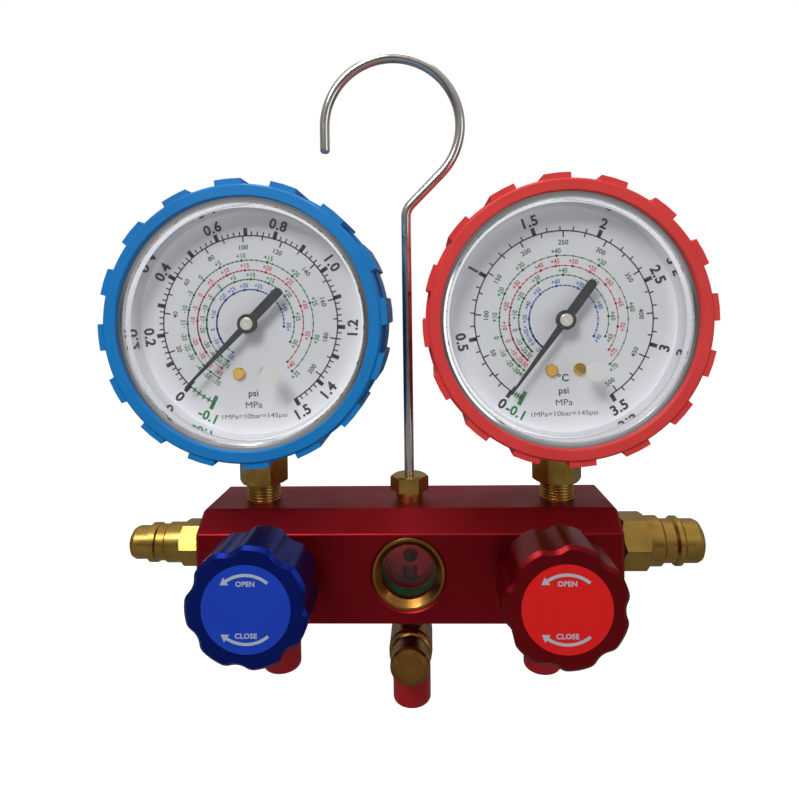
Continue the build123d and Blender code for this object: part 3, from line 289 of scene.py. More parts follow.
# %% Plated and painted metal
chrome = new_finish("chrome_plate", (0.78, 0.78, 0.80), metallic=1.0, roughness=0.07)
vary_roughness(chrome, object_pattern(chrome, 90), 0.05, 0.13)
hook_plate = new_finish("plated_wire", (0.66, 0.63, 0.60), metallic=1.0, roughness=0.16)
vary_roughness(hook_plate, object_pattern(hook_plate, 160), 0.10, 0.26)
add_relief(hook_plate, object_pattern(hook_plate, 500), 0.00003, 0.5)
case_steel = new_finish("painted_case", (0.05, 0.05, 0.055), roughness=0.45)
add_relief(case_steel, object_pattern(case_steel, 2500), 0.00001)
bronze = new_finish("tube_bronze", (0.46, 0.20, 0.06), metallic=1.0, roughness=0.3)
vary_colour(bronze, object_pattern(bronze, 200), (0.46, 0.20, 0.06), (0.34, 0.14, 0.05))
spring_steel = new_finish("spring_steel", (0.35, 0.36, 0.38), metallic=1.0, roughness=0.25)
vary_roughness(spring_steel, object_pattern(spring_steel, 400), 0.2, 0.35)

wear_nodes(["hook_nut"] + both("gauge_socket", "hose_port"), brass_z)
# Painted shade on the tee, the sight ring and the access cap: their darker brass stands in for
# shadow.
wear_nodes(["charge_tee"], painted_shade_brass_z)
wear_nodes(["sight_ring", "access_cap"], painted_shade_brass_y)
wear_nodes(["access_core"] + both("bonnet", "spindle"), brass_y)
wear_nodes(both("coupler_post"), brass_x)
wear_nodes(both("movement_frame", "sector_gear", "pointer_shaft", "dial_screws"), brass_y)
wear_nodes(both("bezel"), chrome)
wear_nodes(["hook"], hook_plate)
wear_nodes(both("gauge_case"), case_steel)
wear_nodes(both("bourdon_tube", "tube_tip"), bronze)
wear_nodes(both("hairspring", "link", "knob_screw"), spring_steel)

# %% [markdown]
# ## Rubber and plastics
# The boots are moulded rubber with a satin skin: soft gloss, a faint orange-peel, and a tone that
# drifts a little. The caps are softer vinyl with more shine. One recipe serves them all, and only
# the pale plugs also scatter light inside, because in dark rubber nobody would see it.

# %% Rubber and plastic finishes
def moulded(name, colour, drift, roughness, grain):
    finish = new_finish(name, colour, roughness=roughness, Specular_IOR_Level=0.45)
    vary_colour(finish, object_pattern(finish, 40), colour, drift)
    vary_roughness(finish, object_pattern(finish, 150), roughness * 0.85, roughness * 1.25)
    add_relief(finish, object_pattern(finish, 1800, detail=2), grain, 0.7)
    return finish


blue_rubber = moulded("boot_rubber_blue", (0.003, 0.25, 0.70), (0.003, 0.22, 0.63), 0.42, 0.00003)
red_rubber = moulded("boot_rubber_red", (0.90, 0.060, 0.055), (0.82, 0.048, 0.046), 0.42, 0.00003)
cap_vinyl = moulded("cap_vinyl_red", (0.52, 0.006, 0.012), (0.44, 0.004, 0.008), 0.28, 0.00002)
seal_rubber = moulded("seal_rubber", (0.012, 0.012, 0.013), (0.02, 0.02, 0.02), 0.5, 0.00002)
gasket_green = moulded("gasket_green", (0.005, 0.06, 0.025), (0.004, 0.045, 0.018), 0.4, 0.00002)
plug_white = moulded("plug_white", (0.90, 0.90, 0.88), (0.86, 0.86, 0.84), 0.4, 0.00001)
shader_of(plug_white).inputs["Subsurface Weight"].default_value = 0.25
shader_of(plug_white).inputs["Subsurface Radius"].default_value = (0.0012, 0.0011, 0.0009)
wear_nodes(["low_boot"], blue_rubber)
wear_nodes(["high_boot"], red_rubber)
wear_nodes(["centre_port_cap"] + both("port_cap"), cap_vinyl)
wear_nodes(both("spindle_seals"), seal_rubber)
wear_nodes(["sight_gasket"], gasket_green)
wear_nodes(both("lens_plug"), plug_white)

# %% [markdown]
# ## Paint and print
# Dials are white enamel on aluminium, pointers are matt black, the knob badges are glossy printed
# plates. The enamel stays below pure white, so that it keeps its shading in bright light. The inks
# share one recipe.

# %% Painted finishes
def ink(name, colour):
    finish = new_finish(name, colour, roughness=0.5)
    vary_roughness(finish, object_pattern(finish, 800), 0.42, 0.6)
    return finish


dial_enamel = new_finish("dial_enamel", (0.76, 0.77, 0.80), roughness=0.38)
vary_colour(dial_enamel, object_pattern(dial_enamel, 30), (0.77, 0.78, 0.81), (0.74, 0.75, 0.78))
add_relief(dial_enamel, object_pattern(dial_enamel, 2200, detail=1), 0.000004)
pointer_black = moulded("pointer_black", (0.004, 0.004, 0.005), (0.006, 0.006, 0.006), 0.55,
                        0.00001)
badge_blue = moulded("badge_blue", (0.001, 0.055, 0.60), (0.001, 0.045, 0.52), 0.35, 0.000006)
badge_red = moulded("badge_red", (0.92, 0.006, 0.004), (0.84, 0.005, 0.003), 0.35, 0.000006)
ink_black = ink("ink_black", (0.012, 0.012, 0.014))
ink_green = ink("ink_green", (0.010, 0.16, 0.035))
ink_red = ink("ink_red", (0.60, 0.035, 0.04))
ink_blue = ink("ink_blue", (0.02, 0.14, 0.50))
ink_white = ink("ink_white", (0.52, 0.57, 0.68))
wear_nodes(both("dial"), dial_enamel)
wear_nodes(both("pointer"), pointer_black)
wear_nodes(["low_badge"], badge_blue)
wear_nodes(["high_badge"], badge_red)

# %% [markdown]
# ## Clear windows
# The gauge lens is acrylic, the sight glass is a thick glass disc. Both let lamplight straight
# through, so that what is behind them isn't dark: shadow rays and diffuse rays pass freely.
# Flat panes hardly shift what is behind them, so the body of the pane doesn't bend light at all and
# a clear coat carries the reflections. In the solids a pane fills its seat face to face, which
# would trap light between the two faces, so the panes are shown a hair smaller than their seats.

# %% Window finishes
def clear_window(name, tint, ior, shine):
    finish = new_finish(name, tint, roughness=0.0, IOR=1.01, Transmission_Weight=1.0,
                        Coat_Weight=shine, Coat_Roughness=0.0, Coat_IOR=ior)
    tree = finish.node_tree
    output = tree.nodes["Material Output"]
    path = tree.nodes.new("ShaderNodeLightPath")
    open_pane = tree.nodes.new("ShaderNodeBsdfTransparent")
    mix = tree.nodes.new("ShaderNodeMixShader")
    tree.links.new(math_node(tree, "MAXIMUM", path.outputs["Is Shadow Ray"],
                             path.outputs["Is Diffuse Ray"]), mix.inputs["Fac"])
    tree.links.new(shader_of(finish).outputs["BSDF"], mix.inputs[1])
    tree.links.new(open_pane.outputs["BSDF"], mix.inputs[2])
    tree.links.new(mix.outputs["Shader"], output.inputs["Surface"])
    return finish


SEAT_GAP = 0.06 * MM


def loose_pane(node, finish, body):
    """Show a pane that stands clear of its seat by a hair all round, in place of its solid."""
    low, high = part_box(node)
    middle, size = (low + high) / 2, high - low
    shrink = Matrix.Diagonal([1 - 2 * SEAT_GAP / side for side in size]).to_4x4()
    mesh = node_objects[node].data.copy()
    mesh.transform(Matrix.Translation(middle) @ shrink @ Matrix.Translation(-middle))
    pane = add_piece(f"{node}_pane", mesh, finish, body)
    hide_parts(node)
    print(pane.name, "faces", len(mesh.polygons))


lens_acrylic = clear_window("lens_acrylic", (0.98, 0.985, 0.99), 1.49, 0.4)
for side in SIDES:
    loose_pane(f"{side}_lens", lens_acrylic, "manifold")
sight_clear = clear_window("sight_glass_clear", (0.96, 0.985, 0.97), 1.50, 0.25)
loose_pane("sight_glass", sight_clear, "manifold")

# %% [markdown]
# ## What a scale is made of
# A dial carries three things again and again: ticks at equal steps, dots along a curve, and
# numbers. An image of the dial would be quicker, but blurs close by; print made of flat faces
# doesn't. Ticks and dots repeat by rule, so Geometry Nodes place them: a tree is built once and
# used with different inputs. All print is laid flat in a drawing whose up is the dial's up, then
# turned to face the front.

# %% Helpers for Geometry Nodes
def new_tree(name, inputs):
    """A geometry tree with named number inputs: {name: (socket type, default)}."""
    tree = bpy.data.node_groups.new(name, "GeometryNodeTree")
    tree.interface.new_socket("Geometry", in_out="INPUT", socket_type="NodeSocketGeometry")
    tree.interface.new_socket("Geometry", in_out="OUTPUT", socket_type="NodeSocketGeometry")
    for label, (kind, default) in inputs.items():
        socket = tree.interface.new_socket(label, in_out="INPUT", socket_type=kind)
        socket.default_value = default
    return tree, tree.nodes.new("NodeGroupInput"), tree.nodes.new("NodeGroupOutput")


def finish_tree(tree, geometry, group_input, group_output):
    """Realize the instances and set the finish: every tree ends this way."""
    realize = tree.nodes.new("GeometryNodeRealizeInstances")
    paint = tree.nodes.new("GeometryNodeSetMaterial")
    tree.links.new(geometry, realize.inputs["Geometry"])
    tree.links.new(realize.outputs["Geometry"], paint.inputs["Geometry"])
    tree.links.new(group_input.outputs["Finish"], paint.inputs["Material"])
    tree.links.new(paint.outputs["Geometry"], group_output.inputs["Geometry"])


def grow(tree, name, values):
    """Run a tree with these inputs on an empty mesh and return the plain mesh it makes."""
    carrier = bpy.data.objects.new(name, bpy.data.meshes.new(name))
    bpy.context.scene.collection.objects.link(carrier)
    modifier = carrier.modifiers.new("grow", "NODES")
    modifier.node_group = tree
    for item in tree.interface.items_tree:
        if item.in_out == "INPUT" and item.name in values:
            modifier[item.identifier] = values[item.name]
    bpy.context.view_layer.update()
    evaluated = carrier.evaluated_get(bpy.context.evaluated_depsgraph_get())
    mesh = bpy.data.meshes.new_from_object(evaluated)
    carrier.modifiers.clear()
    bpy.data.objects.remove(carrier)
    return mesh


# %% [markdown]
# ## Ticks
# One tick is a flat strip. The tree lays strips on a row of points and turns each by its index, so
# a scale needs only a first angle, a step and a count. Placing them one by one in code would work
# too, but a tree can still be changed by hand in the editor. First come the parts that the tick
# tree and the dot tree share.

# %% Stamps around a centre
FLOAT, INT = "NodeSocketFloat", "NodeSocketInt"


def scale_inputs(**more):
    """Inputs that every scale tree has, with the finish last."""
    inputs = {"Count": (INT, 10), **more}
    inputs["Finish"] = ("NodeSocketMaterial", None)
    return inputs


def point_row(tree, group_input):
    """A row of points, one for each stamp, and the index of each."""
    row = tree.nodes.new("GeometryNodeMeshLine")
    row.inputs["Offset"].default_value = (0, 0, 0)
    tree.links.new(group_input.outputs["Count"], row.inputs["Count"])
    return row.outputs["Mesh"], tree.nodes.new("GeometryNodeInputIndex").outputs["Index"]


def stamp_around(tree, points, stamp, clockwise):
    """Put the stamp on each point, turned clockwise by an angle in degrees."""
    turn = math_node(tree, "MULTIPLY", clockwise, -math.pi / 180)
    turn_axes = tree.nodes.new("ShaderNodeCombineXYZ")
    tree.links.new(turn, turn_axes.inputs["Z"])
    place = tree.nodes.new("GeometryNodeInstanceOnPoints")
    tree.links.new(points, place.inputs["Points"])
    tree.links.new(stamp, place.inputs["Instance"])
    tree.links.new(turn_axes.outputs["Vector"], place.inputs["Rotation"])
    return place.outputs["Instances"]


def moved_up(tree, geometry, distance):
    """Shift a stamp from the centre out to its radius."""
    offset = tree.nodes.new("ShaderNodeCombineXYZ")
    tree.links.new(distance, offset.inputs["Y"])
    shift = tree.nodes.new("GeometryNodeTransform")
    tree.links.new(geometry, shift.inputs["Geometry"])
    tree.links.new(offset.outputs["Vector"], shift.inputs["Translation"])
    return shift.outputs["Geometry"]


# %% The tick tree
tick_tree, tick_in, tick_out = new_tree("scale_ticks", scale_inputs(**{
    "First Angle": (FLOAT, 0.0), "Step Angle": (FLOAT, 6.0), "Inner Radius": (FLOAT, 0.02),
    "Outer Radius": (FLOAT, 0.022), "Width": (FLOAT, 0.0003)}))
tick_points, tick_index = point_row(tick_tree, tick_in)
strip = tick_tree.nodes.new("GeometryNodeMeshGrid")
strip.inputs["Vertices X"].default_value = 2
strip.inputs["Vertices Y"].default_value = 2
tick_tree.links.new(tick_in.outputs["Width"], strip.inputs["Size X"])
length = math_node(tick_tree, "SUBTRACT", tick_in.outputs["Outer Radius"],
                   tick_in.outputs["Inner Radius"])
tick_tree.links.new(length, strip.inputs["Size Y"])
middle = math_node(tick_tree, "ADD", tick_in.outputs["Inner Radius"],
                   math_node(tick_tree, "MULTIPLY", length, 0.5))
tick_angle = math_node(tick_tree, "ADD", tick_in.outputs["First Angle"],
                       math_node(tick_tree, "MULTIPLY", tick_index, tick_in.outputs["Step Angle"]))
ticks = stamp_around(tick_tree, tick_points, moved_up(tick_tree, strip.outputs["Mesh"], middle),
                     tick_angle)
finish_tree(tick_tree, ticks, tick_in, tick_out)
print("tick tree nodes:", len(tick_tree.nodes))

# %% [markdown]
# ## Dots on a temperature ring
# Inside the pressure scale, rings show at which temperature a refrigerant boils. Vapour pressure
# grows with temperature along a simple law, so the same law, written in Math nodes, spaces the
# dots: close together where it is cold, far apart where it is hot.

# %% The dot tree
KELVIN = 273.15
AIR_PRESSURE = 0.1013               # MPa, what a gauge calls zero

dot_tree, dot_in, dot_out = new_tree("ring_dots", scale_inputs(**{
    "First Degree": (FLOAT, -40.0), "Step Degree": (FLOAT, 1.0), "Pressure At Zero": (FLOAT, 0.3),
    "Heat Factor": (FLOAT, 2600.0), "Zero Angle": (FLOAT, 226.9), "Degrees Per MPa": (FLOAT, 190.0),
    "Radius": (FLOAT, 0.02), "Dot Radius": (FLOAT, 0.0002)}))
dot_points, dot_index = point_row(dot_tree, dot_in)
degree = math_node(dot_tree, "ADD", dot_in.outputs["First Degree"],
                   math_node(dot_tree, "MULTIPLY", dot_index, dot_in.outputs["Step Degree"]))
inverse = math_node(dot_tree, "DIVIDE", 1.0, math_node(dot_tree, "ADD", degree, KELVIN))
exponent = math_node(dot_tree, "MULTIPLY", dot_in.outputs["Heat Factor"],
                     math_node(dot_tree, "SUBTRACT", 1 / KELVIN, inverse))
growth = math_node(dot_tree, "POWER", math.e, exponent)
pressure = math_node(dot_tree, "SUBTRACT",
                     math_node(dot_tree, "MULTIPLY", growth, dot_in.outputs["Pressure At Zero"]),
                     AIR_PRESSURE)
dot_angle = math_node(dot_tree, "ADD", dot_in.outputs["Zero Angle"],
                      math_node(dot_tree, "MULTIPLY", pressure, dot_in.outputs["Degrees Per MPa"]))
disc = dot_tree.nodes.new("GeometryNodeMeshCircle")
disc.fill_type = "NGON"
disc.inputs["Vertices"].default_value = 8
dot_tree.links.new(dot_in.outputs["Dot Radius"], disc.inputs["Radius"])
dots = stamp_around(dot_tree, dot_points,
                    moved_up(dot_tree, disc.outputs["Mesh"], dot_in.outputs["Radius"]), dot_angle)
finish_tree(dot_tree, dots, dot_in, dot_out)
print("dot tree nodes:", len(dot_tree.nodes))

# %% [markdown]
# ## Lettering and lines
# Numbers use the plain built-in font. Each is filled in as a flat mesh, centred, scaled to its
# height and set on the scale. Those on the lower half are turned over, so that they read upright.
# All print of one colour is collected in one drawing, so a dial has four pieces of print and not
# two hundred.

# %% Flat print
class Print:
    """Collects the flat print of one colour, in metres, before it is set on its plate."""

    def __init__(self):
        self.mesh = bmesh.new()

    def take(self, mesh, place=Matrix.Identity(4)):
        """Add a mesh to the drawing and free it."""
        mesh.transform(place)
        self.mesh.from_mesh(mesh)
        bpy.data.meshes.remove(mesh)

    def ticks(self, **values):
        self.take(grow(tick_tree, "ticks", {k.replace("_", " "): v for k, v in values.items()}))

    def dots(self, **values):
        self.take(grow(dot_tree, "dots", {k.replace("_", " "): v for k, v in values.items()}))

    def arc(self, radius, width, start, sweep, steps=96):
        """A line of even width along a circle; angles in degrees, clockwise from the top."""
        rows = []
        for step in range(steps + 1):
            turn = math.radians(start + sweep * step / steps)
            rows.append([self.mesh.verts.new((r * math.sin(turn), r * math.cos(turn), 0))
                         for r in (radius - width / 2, radius + width / 2)])
        for (a, b), (c, d) in zip(rows, rows[1:]):
            self.mesh.faces.new((a, b, d, c) if sweep < 0 else (b, a, c, d))

    def polygon(self, points):
        self.mesh.faces.new([self.mesh.verts.new((x, y, 0)) for x, y in points])

    def word(self, text, height, x=0.0, y=0.0, turn=0.0, squeeze=1.0, bold=0.02):
        """A word or number centred on a point; turn in degrees, clockwise."""
        curve = bpy.data.curves.new("word", "FONT")
        curve.body = text
        curve.resolution_u = 3
        curve.offset = bold
        curve.space_character = 1.0 + 2 * bold
        holder = bpy.data.objects.new("word", curve)
        bpy.context.scene.collection.objects.link(holder)
        bpy.context.view_layer.update()
        evaluated = holder.evaluated_get(bpy.context.evaluated_depsgraph_get())
        flat = bpy.data.meshes.new_from_object(evaluated)
        bpy.data.objects.remove(holder)
        bpy.data.curves.remove(curve)
        xs = [v.co.x for v in flat.vertices]
        size = height / CAP_SHARE
        centred = Matrix.Translation((-(max(xs) + min(xs)) / 2, -CAP_SHARE / 2, 0))
        scaled = Matrix.Diagonal((size * squeeze, size, 1, 1))
        turned = Matrix.Rotation(-math.radians(turn), 4, "Z")
        self.take(flat, Matrix.Translation((x, y, 0)) @ turned @ scaled @ centred)

    def number(self, text, height, angle, radius, squeeze=1.0, bold=0.02):
        """A number on a scale, tangent to it and never upside down."""
        angle %= 360
        turn = math.radians(angle)
        over = 180 if 90 < angle < 270 else 0
        self.word(text, height, radius * math.sin(turn), radius * math.cos(turn), angle + over,
                  squeeze, bold)

    def set_down(self, name, finish, place, body):
        """Make the drawing a piece of the object, on a body."""
        bmesh.ops.recalc_face_normals(self.mesh, faces=self.mesh.faces)
        for face in self.mesh.faces:
            if face.normal.z < 0:
                face.normal_flip()
        mesh = bpy.data.meshes.new(name)
        self.mesh.to_mesh(mesh)
        self.mesh.free()
        mesh.transform(place)
        for polygon in mesh.polygons:
            polygon.material_index = 0
        return add_piece(name, mesh, finish, body)


# %% [markdown]
# ## From a drawing to the plate
# A drawing lies in the XY plane. The plate that carries it stands upright and faces the front, so
# one matrix turns the drawing up and sets it a hair before the plate. Projecting it with a
# shrinkwrap isn't needed, since the plates are flat.

# %% Where a print lies
CAP_SHARE = 0.729                   # height of a capital over the size of the built-in font
FACE_FRONT = Matrix.Rotation(math.radians(90), 4, "X")


def on_plate(node, roll, lift):
    """Where a drawing lies on the front of a flat round node; roll in degrees, clockwise."""
    low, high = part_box(node)
    centre = ((low.x + high.x) / 2, low.y - lift, (low.z + high.z) / 2)
    return Matrix.Translation(centre) @ FACE_FRONT @ Matrix.Rotation(-math.radians(roll), 4, "Z")


# %% [markdown]
# ## The dials
# Each dial has a black pressure scale in MPa with a psi scale inside it, a short green stretch
# below zero for vacuum, and four temperature rings. The low dial runs to 1.5 MPa, the high one to
# 3.5 MPa. Everything is placed by pressure, so the pointers' joints read true.

# %% Pressure scales
DIAL_ROLL = -2.0
PRINT_LIFT = 0.03 * MM
SCALE_RADIUS = 27.4 * MM
PSI_PER_MPA = 145.0
LINE_WIDTH, THICK_WIDTH = 0.42 * MM, 1.25 * MM
TICK_OUT, THICK_OUT, THICK_IN = 1.4 * MM, 2.4 * MM, 0.1 * MM
PSI_TICK, PSI_HALF_TICK = 2.0 * MM, 1.3 * MM
VACUUM_TICK, VACUUM_END_IN = 0.9 * MM, 2.2 * MM
NUMBER_HEIGHT, VACUUM_HEIGHT, NUMBER_RADIUS, BOLD = 3.2 * MM, 3.0 * MM, 32.0 * MM, 0.035
PSI_HEIGHT, PSI_RADIUS = 1.5 * MM, 23.9 * MM
UNIT_SHIFT = {"low": -0.2 * MM, "high": -0.9 * MM}
SCALES = {
    "low": dict(zero=226.9, rate=190.0, top=1.5, thick=0.1, thin=0.02, psi_step=20, psi_top=200,
                numbers=["0", "0.2", "0.4", "0.6", "0.8", "1.0", "1.2", "1.4", "1.5"]),
    "high": dict(zero=218.4, rate=83.4, top=3.5, thick=0.5, thin=0.1, psi_step=50, psi_top=500,
                 numbers=["0", "0.5", "1", "1.5", "2", "2.5", "3", "3.5"]),
}
VACUUM = -0.1
for side, scale in SCALES.items():
    print(side, "dial sweeps", round(scale["rate"] * scale["top"], 1), "degrees from zero")


# %% Print a pressure scale
def print_pressure(side, black, green):
    """Scale circle, ticks and numbers of one dial."""
    scale = SCALES[side]
    zero, rate = scale["zero"], scale["rate"]
    steps = round(scale["top"] / scale["thin"])
    black.arc(SCALE_RADIUS, LINE_WIDTH, zero, rate * scale["top"], 160)
    black.ticks(Count=steps + 1, First_Angle=zero, Step_Angle=rate * scale["thin"],
                Inner_Radius=SCALE_RADIUS, Outer_Radius=SCALE_RADIUS + TICK_OUT, Width=LINE_WIDTH)
    thick_count = round(scale["top"] / scale["thick"]) + 1
    black.ticks(Count=thick_count, First_Angle=zero, Step_Angle=rate * scale["thick"],
                Inner_Radius=SCALE_RADIUS - THICK_IN, Outer_Radius=SCALE_RADIUS + THICK_OUT,
                Width=THICK_WIDTH)
    psi_angle = rate / PSI_PER_MPA
    for share, reach in ((1, PSI_TICK), (0.5, PSI_HALF_TICK)):
        step = scale["psi_step"] * share
        black.ticks(Count=round(scale["psi_top"] / step) + 1, First_Angle=zero,
                    Step_Angle=psi_angle * step, Inner_Radius=SCALE_RADIUS - reach,
                    Outer_Radius=SCALE_RADIUS, Width=LINE_WIDTH)
    for text in scale["numbers"]:
        black.number(text, NUMBER_HEIGHT, zero + rate * float(text), NUMBER_RADIUS, bold=BOLD)
    for psi in range(scale["psi_step"], scale["psi_top"] + 1, scale["psi_step"]):
        black.number(str(psi), PSI_HEIGHT, zero + psi_angle * psi, PSI_RADIUS)
    green.arc(SCALE_RADIUS, LINE_WIDTH, zero, rate * VACUUM, 12)
    green.ticks(Count=5, First_Angle=zero, Step_Angle=rate * VACUUM / 5,
                Inner_Radius=SCALE_RADIUS - VACUUM_TICK, Outer_Radius=SCALE_RADIUS + VACUUM_TICK,
                Width=LINE_WIDTH)
    vacuum_angle = zero + rate * VACUUM
    green.ticks(Count=1, First_Angle=vacuum_angle, Step_Angle=0.0,
                Inner_Radius=SCALE_RADIUS - VACUUM_END_IN, Outer_Radius=SCALE_RADIUS + THICK_OUT,
                Width=THICK_WIDTH)
    green.number(str(VACUUM), VACUUM_HEIGHT, vacuum_angle, NUMBER_RADIUS, bold=BOLD)
    shift = UNIT_SHIFT[side]
    if side == "high":
        black.word("\u00b0C", 2.3 * MM, shift, -17.9 * MM)
    black.word("psi", 2.1 * MM, shift, -21.8 * MM)
    black.word("MPa", 2.1 * MM, shift, -25.5 * MM, squeeze=1.1, bold=0.0)
    black.word("1MPa=10bar=145psi", 1.55 * MM, shift, -29.0 * MM, squeeze=1.2, bold=0.0)


# %% [markdown]
# ## Temperature rings
# Four common refrigerants have a ring each. Two numbers describe a refrigerant well enough for a
# dial: its pressure at zero degrees and how fast that grows.

# %% Temperature rings
RINGS = [
    dict(ink="green", radius=19.8, letters=21.3, height=1.6, at_zero=0.568, factor=2410,
         low=[-70, -50, -40, -30, -25, -20, -15, -10, -5, 0, 5, 10, 15, 20, 25, 30, 35],
         high=[-40, -30, -20, -10, 0, 10, 20, 30, 40, 50, 60, 70]),
    dict(ink="red", radius=16.7, letters=18.2, height=1.5, at_zero=0.498, factor=2403,
         low=[-60, -40, -30, -20, -10, -5, 0, 5, 10, 15, 20, 25, 30, 35, 40],
         high=[-30, -20, -10, 0, 10, 20, 30, 40, 45, 50, 55, 60, 65, 70, 75]),
    dict(ink="green", radius=13.8, letters=15.2, height=1.5, at_zero=0.605, factor=2355,
         low=[-70, -50, -40, -30, -20, -15, -10, -5, 0, 5, 10, 15, 20, 25, 30],
         high=[-30, -20, -10, 0, 10, 20, 30, 40, 50, 60, 65]),
    dict(ink="blue", radius=10.6, letters=12.0, height=1.4, at_zero=0.293, factor=2654,
         low=[-50, -20, -10, 0, 10, 20, 25, 30, 35, 40, 45, 50],
         high=[-20, 0, 10, 20, 30, 40, 50, 60, 70, 80, 90]),
]


def boiling_angle(ring, side, degrees):
    """Clock angle on a dial at which a ring's refrigerant boils at that temperature."""
    growth = math.exp(ring["factor"] * (1 / KELVIN - 1 / (KELVIN + degrees)))
    return SCALES[side]["zero"] + SCALES[side]["rate"] * (ring["at_zero"] * growth - AIR_PRESSURE)


RING_LINE, FINE_DOT, NUMBERED_DOT = 0.24 * MM, 0.30 * MM, 0.45 * MM
FINE_STEP = {"low": 1, "high": 2}   # degrees from dot to dot
COLDEST_DOT = -30                   # below it the dots would run together


def print_ring(ring, side, layer):
    """Line, dots and numbers of one temperature ring."""
    degrees = ring[side]
    start, end = (boiling_angle(ring, side, d) for d in (degrees[0], degrees[-1]))
    radius = ring["radius"] * MM
    layer.arc(radius, RING_LINE, start, end - start, 120)
    law = {"Pressure_At_Zero": ring["at_zero"], "Heat_Factor": float(ring["factor"]),
           "Zero_Angle": SCALES[side]["zero"], "Degrees_Per_MPa": SCALES[side]["rate"],
           "Radius": radius}
    fine = FINE_STEP[side]
    cold = max(degrees[0], COLDEST_DOT)
    layer.dots(Count=(degrees[-1] - cold) // fine + 1, First_Degree=float(cold),
               Step_Degree=float(fine), Dot_Radius=FINE_DOT, **law)
    for value in degrees:
        layer.dots(Count=1, First_Degree=float(value), Step_Degree=0.0, Dot_Radius=NUMBERED_DOT,
                   **law)
        text = f"+{value}" if value > 0 else str(value)
        layer.number(text, ring["height"] * MM, boiling_angle(ring, side, value),
                     ring["letters"] * MM, squeeze=0.85)


print("angle of 0 degrees on the low dial:",
      [round(boiling_angle(ring, "low", 0), 1) for ring in RINGS])

# %% [markdown]
# ## Setting the print down
# Scale and rings of a dial are drawn into one layer for each ink, and each layer becomes a piece.
# It stays with the case: only the pointer moves over it.

# %% Print both dials
INKS = {"black": ink_black, "green": ink_green, "red": ink_red, "blue": ink_blue}
for side in SIDES:
    layers = {colour: Print() for colour in INKS}
    print_pressure(side, layers["black"], layers["green"])
    for ring in RINGS:
        print_ring(ring, side, layers[ring["ink"]])
    for colour, layer in layers.items():
        piece = layer.set_down(f"{side}_dial_print_{colour}", INKS[colour],
                               on_plate(f"{side}_dial", DIAL_ROLL, PRINT_LIFT), "manifold")
        print(piece.name, "faces", len(piece.data.polygons))

# %% [markdown]
# ## Arrows and words on the knobs
# The badges say which way to turn. The two arrows are bands that follow the rim of the badge, each
# ending in a solid head; the words sit between them and the middle, which stays bare.

# %% Print both badges
ARROW_RADIUS, ARROW_WIDTH, ARROW_SPAN = 9.3 * MM, 0.85 * MM, 40.0
HEAD_LENGTH, HEAD_HALF = 1.9 * MM, 1.25 * MM
WORD_HEIGHT, WORD_DISTANCE = 1.4 * MM, 7.0 * MM
BADGE_LIFT = 0.03 * MM


def clock_point(radius, angle):
    turn = math.radians(angle)
    return Vector((radius * math.sin(turn), radius * math.cos(turn)))


def print_arrow(layer, middle, end_sign):
    """A curved arrow about a clock angle, with its head at the end on that side."""
    start, end = middle - end_sign * ARROW_SPAN, middle + end_sign * (ARROW_SPAN - 6)
    layer.arc(ARROW_RADIUS, ARROW_WIDTH, start, end - start, 40)
    root = clock_point(ARROW_RADIUS, end)
    along = (clock_point(ARROW_RADIUS, end + end_sign) - root).normalized()
    across = root.normalized()
    layer.polygon([root + across * HEAD_HALF, root - across * HEAD_HALF,
                   root + along * HEAD_LENGTH])


for side in SIDES:
    layer = Print()
    print_arrow(layer, 0, -1)
    print_arrow(layer, 180, 1)
    layer.word("OPEN", WORD_HEIGHT, 0, WORD_DISTANCE, bold=BOLD)
    layer.word("CLOSE", WORD_HEIGHT, 0, -WORD_DISTANCE, bold=BOLD)
    place = on_plate(f"{side}_badge", 0, BADGE_LIFT)
    print(layer.set_down(f"{side}_badge_print", ink_white, place, f"{side}_valve").name)

# %% [markdown]
# ## Pointer hubs
# The pointer's boss carries a bright turned cover with a small countersink in the middle. It is a
# profile turned about the pointer's axis.

# %% Turn the hub discs
def turned_about(node, name, profile, finish, body, steps=48):
    """A piece turned about the axis of a round node; profile is (radius, lift off its front)."""
    low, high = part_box(node)
    x, z = (low.x + high.x) / 2, (low.z + high.z) / 2
    shape = bmesh.new()
    rings = []
    for radius, lift in profile:
        turns = [2 * math.pi * step / steps for step in range(steps)]
        rings.append([shape.verts.new((x + radius * math.cos(turn), low.y - lift,
                                       z + radius * math.sin(turn))) for turn in turns])
    for inner, outer in zip(rings, rings[1:]):
        for step in range(steps):
            after = (step + 1) % steps
            shape.faces.new((inner[step], outer[step], outer[after], inner[after]))
    for ring in (rings[0], rings[-1]):
        shape.faces.new(ring)
    bmesh.ops.recalc_face_normals(shape, faces=shape.faces)
    mesh = bpy.data.meshes.new(name)
    shape.to_mesh(mesh)
    shape.free()
    return add_piece(name, mesh, finish, body)


nickel = new_finish("nickel_disc", (0.52, 0.49, 0.44), metallic=0.45, roughness=0.36)
vary_roughness(nickel, object_pattern(nickel, 700), 0.25, 0.42)
HUB_PROFILE = [(0.25 * MM, 0.42 * MM), (0.45 * MM, 0.50 * MM), (1.75 * MM, 0.53 * MM),
               (1.90 * MM, 0.45 * MM), (1.90 * MM, -0.05 * MM)]
for side in SIDES:
    print(turned_about(f"{side}_pointer_shaft", f"{side}_hub_disc", HUB_PROFILE, nickel,
                       f"{side}_pointer").name)

# %% [markdown]
# ## Threads
# A thread is a ridge that climbs round a shaft. A spiral curve gives its path, and a small square
# profile on edge, swept along it, gives the ridge. A bump would do from afar, but its outline
# stays smooth, and a thread is known by its jagged outline. The shafts themselves are solids
# already, so only the ridge is added, and only where it is open to view.

